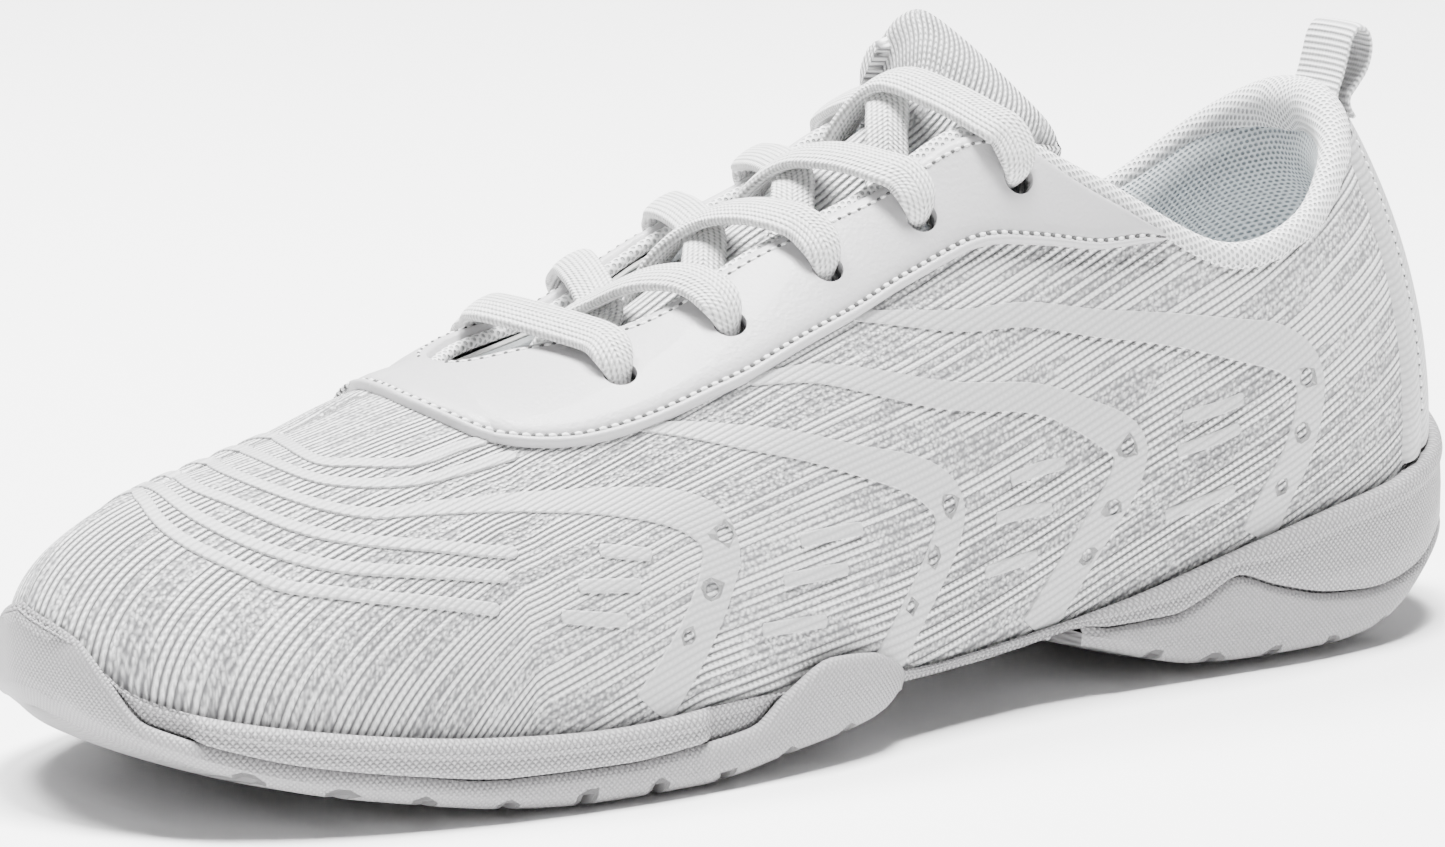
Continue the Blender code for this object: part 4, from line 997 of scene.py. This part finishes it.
def lace_course():
    """Control points of the whole lace, with half width and half thickness at each."""
    top = OVERLAY_AT + OVERLAY + GAP + LACE_THICKNESS / 2 + 0.5
    under = LINING_AT - GAP - LACE_THICKNESS / 2 - 0.4
    flat, curled, tight = (3.5, 1.3), (2.8, 1.0), (1.8, 1.0)
    # Each row: how far the point is from the eyelet in t and in k, its lift, and the lace's size there.
    into = [(-0.03, 0.10, top + 0.1, flat), (0, 0.05, top, (3.7, 1.4)), (0, 0.012, 2.3, (2.6, 1.3)),
            (0, 0, 0, tight)]
    out_of = [(0, 0, LINING_AT - 0.6, (1.6, 0.9)), (0, 0.035, under - 1.2, (2.0, 0.8)),
              (-0.02, 0.08, under - 0.9, curled)]
    tail = [(-0.05, -0.05, under - 1.5, (3.0, 0.8)), (-0.25, -0.14, under - 0.9, curled),
            (-0.6, -0.26, under - 0.6, (2.6, 0.8)), (-0.85, -0.34, under - 0.6, (1.4, 0.8))]

    def spot(side, t, k, lift):
        return lifted(np.array(side * t), np.array(k), lift)

    def beside_eyelet(side, i, rows):
        t, k = EYELETS[i]
        return [(spot(side, t + dt, k + dk, lift), size) for dt, dk, lift, size in rows]

    def over(side, i):
        """From under one side at eyelet i to over the other side at eyelet i + 1."""
        t, far_t = EYELETS[i][0], EYELETS[i + 1][0]
        here = spot(side, t - 0.05, 0.985, under - 0.6)
        there = spot(-side, far_t - 0.1, THROAT_K, top + 0.1)
        crossing = tongue_middle(0.5 * (t + far_t) - 0.1)
        crossing[2] += 2.3 if side > 0 else 3.3 + LACE_THICKNESS
        low = 0.78 * here + 0.22 * crossing
        low[2] = here[2] + 1.4
        near = 0.45 * here + 0.55 * crossing
        near[2] += 1.0
        far = 0.5 * (there + crossing)
        far[2] += 1.2
        return [(here, curled), (low, (3.6, 0.9)), (near, flat), (crossing, flat), (far, flat), (there, flat)]

    def leg(side):
        """From the first eyelet, zigzag up to the last and inside."""
        course = beside_eyelet(side, 0, into)
        for i in range(4):
            course += beside_eyelet(side, i, out_of) + over(side, i)
            side = -side
            course += beside_eyelet(side, i + 1, into)
        return course + beside_eyelet(side, 4, out_of[:1] + tail)

    bar = tongue_middle(5.05)
    bar[2] = top_line(np.array(5.2))[2] + 4.8
    return leg(1)[::-1] + [(bar, flat)] + leg(-1)


def squared(turn, power_x, power_y):
    """A ring of unit radius, the squarer the smaller the powers."""
    x, y = np.cos(turn), np.sin(turn)
    return np.sign(x) * np.abs(x) ** power_x, np.sign(y) * np.abs(y) ** power_y


TIP_RUN = (0.4, 15.6)  # where the film of each tip begins and ends, past the lace's end
TIP_RADIUS = 1.3


def lace(finish, tip_finish):
    places = np.array([np.concatenate(pair) for pair in lace_course()])
    fine = resampled(places, 9 * (len(places) - 1) + 1)
    run = lengths(fine[:, :3])

    def averaged(rows, reach):
        share = np.exp(-((run[:, None] - run) / reach) ** 2) * np.gradient(run)
        return share @ rows / share.sum(1)[:, None]

    fine = averaged(fine, 2.2)
    along = unit(np.gradient(fine[:, :3], axis=0))
    throat = np.array([0, 0.91, 0.41])
    wide = averaged(unit(throat - along * (along @ throat)[:, None]), 4.0)
    wide = unit(wide - along * (along * wide).sum(1)[:, None])
    thick = np.cross(along, wide)
    x, y = squared(np.linspace(0, math.tau, 24, endpoint=False), 0.8, 0.75)
    across = fine[:, 3:4] * x
    points = (fine[:, None, :3] + wide[:, None] * across[..., None]
              + thick[:, None] * (fine[:, 4:5] * y * (1 - 0.12 * np.abs(x)))[..., None])
    made = grid("lace_braid", points, finish, across, lengths(fine[:, :3])[:, None], closed=True)
    place(made, "shoe", "lace", "lace")
    steps = np.linspace(*TIP_RUN, 12)
    size = TIP_RADIUS - 0.35 * np.exp(-(TIP_RUN[1] - steps) / 0.6)
    x, y = squared(np.linspace(0, math.tau, 16, endpoint=False)[:, None], 1, 1)
    for name, end, before in (("lace_tip_outer", fine[0], fine[3]), ("lace_tip_inner", fine[-1], fine[-4])):
        way = unit((end - before)[:3])
        side = unit(np.cross(way, [0, 0, 1.0]))
        spine = end[:3] + way * steps[:, None]
        ring = spine[:, None] + size[:, None, None] * (side * x + np.cross(side, way) * y)
        place(grid(name + "_film", ring, tip_finish, closed=True), "shoe", "lace_tip", name)


# ---- the sole ----

def rubber(y):
    """Thickness of the outsole, which thins towards the waist."""
    return np.interp(y, [-22, 2, 42, 56], [OUTSOLE, 1.4, 1.4, OUTSOLE])


def tread_height(points, half):
    edge = height(TREAD, points[..., 1])
    chord = np.linalg.norm(points[-1] - points[0])
    return np.maximum(edge - CROWN * min(chord / 30, 1) * (1 - half**3), 0)


def across_sole(right, left, shares):
    return right[None] * (1 - shares)[:, None] + left[None] * shares[:, None]

def seat_of(u):
    """Height of the outsole's upper face at the foot of its wall."""
    point = beside(u, 1)
    return height(TREAD, point[1]) + rubber(point[1])


def wall_top(t, fallback):
    """Height of the outsole's wall at station t, or the fallback where there is none."""
    if t <= OUTSOLE_END:
        return height(WRAP, t)
    if t >= HEEL_START:
        return height(WAVE, t)
    return fallback


def covered(t):
    """How far the outsole's wall covers the midsole's side near t: 1 at the toe and ball wraps, else 0."""
    near = np.clip([t - 0.55, t, t + 0.55], 0, HEEL)
    gaps = [height(LIP, at) - wall_top(at, -math.inf) for at in near]
    return np.clip((3.2 - min(gaps)) / 2, 0, 1)


def walls(u, rows):
    """Points beside the upper from (height, distance out) rows."""
    return [wall(u, z, out) for z, out in rows]


def loft_sole(name, steps, outer, bottom_inset, bottom_lift, inner, inner_inset, inner_height, finish):
    """Rings across the shoe: outer wall, underside and other wall, then back along the inside."""
    shares = np.linspace(0, 1, 15)
    half = np.abs(2 * shares - 1)
    rings = []
    for t in steps:
        sides = [np.array(float(t)), np.array(-float(t))]
        right, left = (np.array(outer(u)) for u in sides)
        inner_right, inner_left = (np.array(inner(u)) for u in sides)
        bottom = across_sole(*[beside(u, -bottom_inset) for u in sides], shares)
        bottom[:, 2] = tread_height(bottom, half)
        if bottom_lift:
            bottom[:, 2] += rubber(bottom[:, 1]) + bottom_lift
        inside = across_sole(*[beside(u, -inner_inset) for u in sides], shares)
        inside[:, 2] = inner_height(inside, half)
        rings.append(np.concatenate([right, bottom, left[::-1], inner_left, inside[::-1], inner_right[::-1]]))
    rings = np.array(rings)
    edge = lengths(around(BITE, np.array(steps)))
    return grid(name, rings, finish, rings[..., 2], edge[:, None], closed=True)


def fine_steps(low, high):
    """Stations close together where the sole's wall turns, round the toe, the ball wrap and the heel."""
    return np.concatenate([[low], np.arange(math.ceil(low / 0.08) * 0.08, high, 0.08)[1:], [high]])


# Section of the outsole's wall: height, measured from the crest, the middle and the tread, and share of
# the distance it stands out.
CREST_ROWS = [(-0.5, 0.3), (-0.1, 0.45), (0, 0.6), (-0.15, 0.74), (-0.6, 0.87), (-1.3, 0.95)]
TREAD_ROWS = [(2.2, 0.94), (1.2, 0.76), (0.5, 0.48)]


WALL_PROUD = 3.3  # how far the wall stands out from the upper
TOE_THINNER = 2.5  # how much less it does in front
LEAST_WALL = 2.4  # the wall's least height over the tread
OVER_SEAT = 1.75  # and over the seat of the midsole
END_ROUND = 0.45  # stations over which the wall rounds off at an outsole's end


def outsole(name, node, steps, top, finish, groove_span):
    def outer(u):
        t = station(u)
        tread = height(TREAD, beside(u, 2)[1])
        crest = max(height(top, t), tread + LEAST_WALL, seat_of(u) + OVER_SEAT)
        proud = WALL_PROUD - TOE_THINNER * np.clip((2.0 - t) / 1.4, 0, 1)
        from_end = min(abs(t - OUTSOLE_END), abs(t - HEEL_START))
        proud *= quarter_round(max(from_end, 0.03 * END_ROUND), END_ROUND)
        rows = [(crest + z, share * proud) for z, share in CREST_ROWS]
        rows.append((0.5 * (crest + tread) + 0.3, proud))
        rows += [(tread + z, share * proud) for z, share in TREAD_ROWS]
        return walls(u, rows + [(tread + 0.1, 0.4)])

    def inner(u):
        return walls(u, [(seat_of(u) + 0.6, 0.7)])

    def inner_height(points, half):
        return tread_height(points, half) + rubber(points[:, 1])

    made = loft_sole(name, steps, outer, 1.8, 0, inner, 2.2, inner_height, finish)
    apply_cut(made, grooves(name + "_grooves", *groove_span))
    place(made, "shoe", "outsole", node)


CUT_DEEPER = 0.8  # the tread's edge lies higher than its middle


def grooves(name, first, last):
    """Cutters for the flex grooves: alternately straight and flared, across the tread."""
    shape = bmesh.new()
    for number, y in enumerate(np.arange(first, last + 1, GROOVE_PITCH)):
        z = max(height(TREAD, y) - CROWN, 0)
        slope = math.atan2(height(TREAD, y + 4) - height(TREAD, y - 4), 8)
        size = Matrix.Diagonal((120 * MM, GROOVE_WIDTH * MM, 2 * (GROOVE_DEPTH + CUT_DEEPER) * MM, 1))
        middle = Vector((0, y, z)) + Vector(SHIFT)
        matrix = Matrix.Translation(middle * MM) @ Matrix.Rotation(slope, 4, "X") @ size
        made = bmesh.ops.create_cube(shape, size=1, matrix=matrix)
        if number % 2:
            for vert in made["verts"]:
                if vert.co.z < middle.z * MM:
                    vert.co.y += math.copysign(1.2 * MM, vert.co.y - middle.y * MM)
    return cutter(name, shape)


def midsole(finish):
    sunk = np.array([0, 0, -0.5])  # under the foot's side of the upper

    def outer(u):
        t = station(u)
        seat, lip = seat_of(u) + 1.6, height(LIP, t)
        low = seat + 0.2
        joint = min(max(wall_top(t, low) + 0.3, low), lip - 0.9)
        proud = 0.95 + 2.2 * (1 - covered(t)) * np.clip(abs(t - 8.6) - 0.5, 0, 1)
        bead = min(3.2, 0.45 * (lip - joint))
        return walls(u, [
            (lip - 0.3, 0.4), (lip + 0.1, 0.9), (lip + 0.15, 0.45 * proud + 0.5), (lip - 0.15, 0.85 * proud),
            (lip - 0.3 * bead, proud + 0.15), (lip - 0.6 * bead, proud + 0.3),
            (lip - 0.85 * bead, proud + 0.2), (lip - bead, proud - 0.05), (lip - 1.12 * bead, proud - 0.1),
            (0.5 * (lip - bead + joint), proud + 0.12), (joint + 0.25, proud + 0.1), (joint, 0.8),
            (min(seat, joint - 0.1), 0.7),
        ])

    def inner(u):
        seam_foot = around(BITE, u) + outward(u) * 0.35
        return [seam_foot, turned_in(u, 0.7, 0.6) + sunk, turned_in(u, 3.6, 1) + sunk]

    def floor(points, half):
        return height(FLOOR, points[..., 1]) - 0.5

    made = loft_sole("midsole_foam", fine_steps(0, HEEL), outer, 2.2, GAP + 0.35, inner, 9, floor, finish)
    place(made, "shoe", "foam_sole", "midsole")


BED_THICK = 4.0
BED_INSET = 4.8  # the footbed's edge lies this far inside the bite line
BED_CUP = 2.2  # how much its edge rises


def footbed(finish):
    """Sockliner: a cloth-faced foam bed that rises a little round its edge."""
    shares = np.linspace(0, 1, 41)
    rows = []
    for t in np.linspace(0.05, HEEL - 0.05, 110):
        row = across_sole(beside(np.array(t), -BED_INSET), beside(np.array(-t), -BED_INSET), shares)
        width = np.linalg.norm(row[-1] - row[0])
        cup = BED_CUP * np.abs(2 * shares - 1) ** 6 * min(width / 30, 1)
        row[:, 2] = height(FLOOR, row[:, 1]) + KNIT + 0.5 + BED_THICK + cup
        rows.append(np.concatenate([row, row[::-1] - (0, 0, BED_THICK)]))
    points = np.array(rows)
    made = grid("footbed", points, finish, points[..., 0], points[..., 1], closed=True)
    place(made, "shoe", "foam", "sockliner")


# ---- heel pieces ----

STAY_FRONT = 13.1  # the station where the back stay's side edge lies
PER_STATION = 7.0  # millimetres to a station there
STAY_STITCH = 2.7  # the stitch row's distance in from that edge


def back_stay(finish, thread, shade):
    """Facing up the heel seam, with a rolled edge and a stitch row on each side."""
    us = np.linspace(STAY_FRONT, TURN - STAY_FRONT, 121)[:, None]
    low = k_at(us, height(LIP, station(us))) + 0.015
    k = low + (seam_k(us) + 0.03 - low) * np.linspace(0, 1, 40)
    edge = (station(us) - STAY_FRONT) * PER_STATION
    lift = 1.25 * quarter_round(edge, 1.0) - 0.15
    crease = (HEEL - STAY_FRONT) * PER_STATION
    for rise, at, reach in ((0.25, 1.2, 0.7), (-0.3, STAY_STITCH, 0.35), (-0.25, crease, 0.3)):
        lift = lift + rise * np.exp(-((edge - at) / reach) ** 2)
    made = grid("back_stay_facing", lifted(us, k, lift[..., None]), finish, *knit_fields(us, k))
    place(made, "shoe", "stay", "back_stay")
    stitched = STAY_FRONT + STAY_STITCH / PER_STATION
    for word, u in (("outer", stitched), ("inner", TURN - stitched)):
        ks = np.linspace(0.12, 0.93, 80)
        n = normal(u, ks)
        # Under each stitch row lies a row of dark beads: painted shade in its needle holes.
        seam(lifted(u, ks, 0.95), n, 1.9,
             (f"{word}_heel_painted_hole_shade", shade, "lace", 0.1, 0.8, 0.33, -0.1),
             (f"{word}_heel_stitches", thread, "lace", 0, 1.35, 0.3, 0.2))


LOOP_LINE = [  # y, z along the webbing: up from the heel seam, round the loop and back down to it
    (120.2, 81.6), (118.9, 83.5), (117.8, 85.2), (117.7, 87.4), (118.7, 90), (119.6, 93), (120.6, 96.2),
    (122.3, 97.9), (124.2, 96.9), (124.9, 94.2), (124, 90.9), (122, 88.3), (120.4, 86.4), (120.5, 84.6),
    (121.6, 82.9),
]


def pull_loop(finish):
    line = resampled(LOOP_LINE, 160)
    way = np.gradient(line, axis=0)
    side = unit(np.stack([-way[:, 1], way[:, 0]], 1))
    x, y = squared(np.linspace(0, math.tau, 40, endpoint=False), 0.35, 0.6)
    x = WEBBING_WIDTH / 2 * x
    y = 0.55 * y * (1 + 0.35 * np.exp(-((np.abs(x) - 6.3) / 0.5) ** 2))
    sag = WEBBING_SAG * (x / (WEBBING_WIDTH / 2)) ** 2
    points = np.stack([x + 0 * line[:, :1], line[:, :1] + side[:, :1] * y - sag,
                       line[:, 1:] + side[:, 1:] * y], -1)
    made = grid("heel_loop", points, finish, x, lengths(line)[:, None], closed=True)
    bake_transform(made)
    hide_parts("pull_loop", "pull_loop_front_tab", "pull_loop_back_tab")


# ---- studio and camera ----

WORLD_LIGHT = 0.27
LAMPS = [  # name, place in metres, size, watts
    ("key", (-0.6, -0.3, 1.4), 0.5, 55),
    ("top", (0.0, 0.1, 1.8), 0.6, 165),
]
FLOOR_REACH = 6  # metres, as the lamps' places
LIT_AT = Vector((0, 0, 0.04))


def studio():
    paper = Paint("floor_paper", 0.9)
    floor = bpy.data.meshes.new("floor")
    corners = [(x * FLOOR_REACH, y * FLOOR_REACH, 0) for x, y in ((-1, -1), (1, -1), (1, 1), (-1, 1))]
    floor.from_pydata(corners, [], [(0, 1, 2, 3)])
    ground = link("floor", floor)
    ground.location.z = -0.0002
    spots = paper.noise(paper.here(), 0.004, 2.0)
    paper.put(paper.shader.inputs["Base Color"], paper.blend(spots, grey(0.93), grey(0.95)))
    floor.materials.append(paper.made)

    world = bpy.data.worlds.new("studio")
    bpy.context.scene.world = world
    world.use_nodes = True
    background = world.node_tree.nodes["Background"]
    background.inputs["Color"].default_value = (1, 1, 1, 1)
    background.inputs["Strength"].default_value = WORLD_LIGHT
    for name, spot, size, power in LAMPS:
        light = bpy.data.lights.new(name, "AREA")
        light.size = size
        light.energy = power
        lamp = link(name, light)
        lamp.location = spot
        lamp.rotation_euler = (LIT_AT - Vector(spot)).to_track_quat("-Z", "Y").to_euler()


AZIMUTH = math.radians(55)
ELEVATION = math.radians(11.45)
DISTANCE = 1100
TARGET = Vector((-1.9, -2.7, 43.9))
SENSOR = 36
LENS = 4.797  # in widths of the sensor


def camera():
    """The photograph's view: the outer side from the front, a little above."""
    back = Vector((math.sin(AZIMUTH) * math.cos(ELEVATION), -math.cos(AZIMUTH) * math.cos(ELEVATION),
                   math.sin(ELEVATION)))
    data = bpy.data.cameras.new("camera")
    data.sensor_width = SENSOR
    data.lens = LENS * SENSOR
    data.clip_end = 20
    seen = link("camera", data)
    seen.location = (TARGET + Vector(SHIFT) + back * DISTANCE) * MM
    seen.rotation_euler = back.to_track_quat("Z", "Y").to_euler()
    bpy.context.scene.camera = seen


def inner_nodes():
    """Better materials on the CAD nodes that stay."""
    lining = plain_paint("inner_lining", (0.82, 0.85, 0.87), 0.9, 1.6, 0.2)
    board = plain_paint("felted_board", (0.85, 0.83, 0.78), 0.95, 2.5, 0.2)
    sheet = plain_paint("thermoplastic_sheet", (0.8, 0.8, 0.78), 0.6, 1.2)
    plate = plain_paint("moulded_plate", (0.72, 0.73, 0.75), 0.4, 0.8)
    for paint, *nodes in ((lining, "vamp_lining"), (board, "strobel_board"), (plate, "shank_plate"),
                          (sheet, "toe_puff", "heel_counter", "eyestay_backing_outer",
                           "eyestay_backing_inner")):
        for node in nodes:
            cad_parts[node].material_slots[0].material = paint


def build():
    camera()
    knit = knit_paint("jacquard_knit", 0.5, grey(0.13, 0.005), grey(0.86))
    film = film_paint()
    leather = leather_paint()
    thread = plain_paint("thread", grey(0.85), 0.6, 3.0)
    # Near-black finish for beads of painted shade in the needle holes beside the stitches.
    shade = plain_paint("needle_shade", grey(0.10), 0.9)
    rolled = mesh_paint("collar_knit", (0.40, 0.405, 0.41), grey(0.78))
    holes = pegs("eyelet_holes", [(side * t, k, EYELET_RADIUS) for side in (1, -1) for t, k in EYELETS])
    knit_upper(knit, holes)
    films(film)
    eyestay(leather, holes)
    stay_stitches(thread, shade)
    collar_roll(rolled)
    collar_pad(mesh_paint("spacer_mesh", (0.24, 0.28, 0.30), (0.60, 0.64, 0.66)))
    tongue(knit_paint("tongue_knit", 0.42, grey(0.26, 0.005), grey(0.88)))
    lace(braid_paint(), plain_paint("tip_film", grey(0.9), 0.2))
    sole = foam_paint("textured_rubber", 0.95, 0.14, 0.24, 0.34)
    outsole("forefoot_rubber", "outsole_forefoot", fine_steps(0, OUTSOLE_END), WRAP, sole, (-112.5, -12))
    outsole("heel_rubber", "outsole_heel", fine_steps(HEEL_START, HEEL), WAVE, sole, (56, 112))
    midsole(foam_paint("textured_foam", 1.05, 0.22, 0.20, 0.42))
    footbed(pebble_paint("footbed_cloth", 0.9, (0.72, 0.73, 0.74), grey(0.88), 0.25))
    back_stay(film, thread, shade)
    pull_loop(webbing_paint())
    inner_nodes()
    studio()


build()
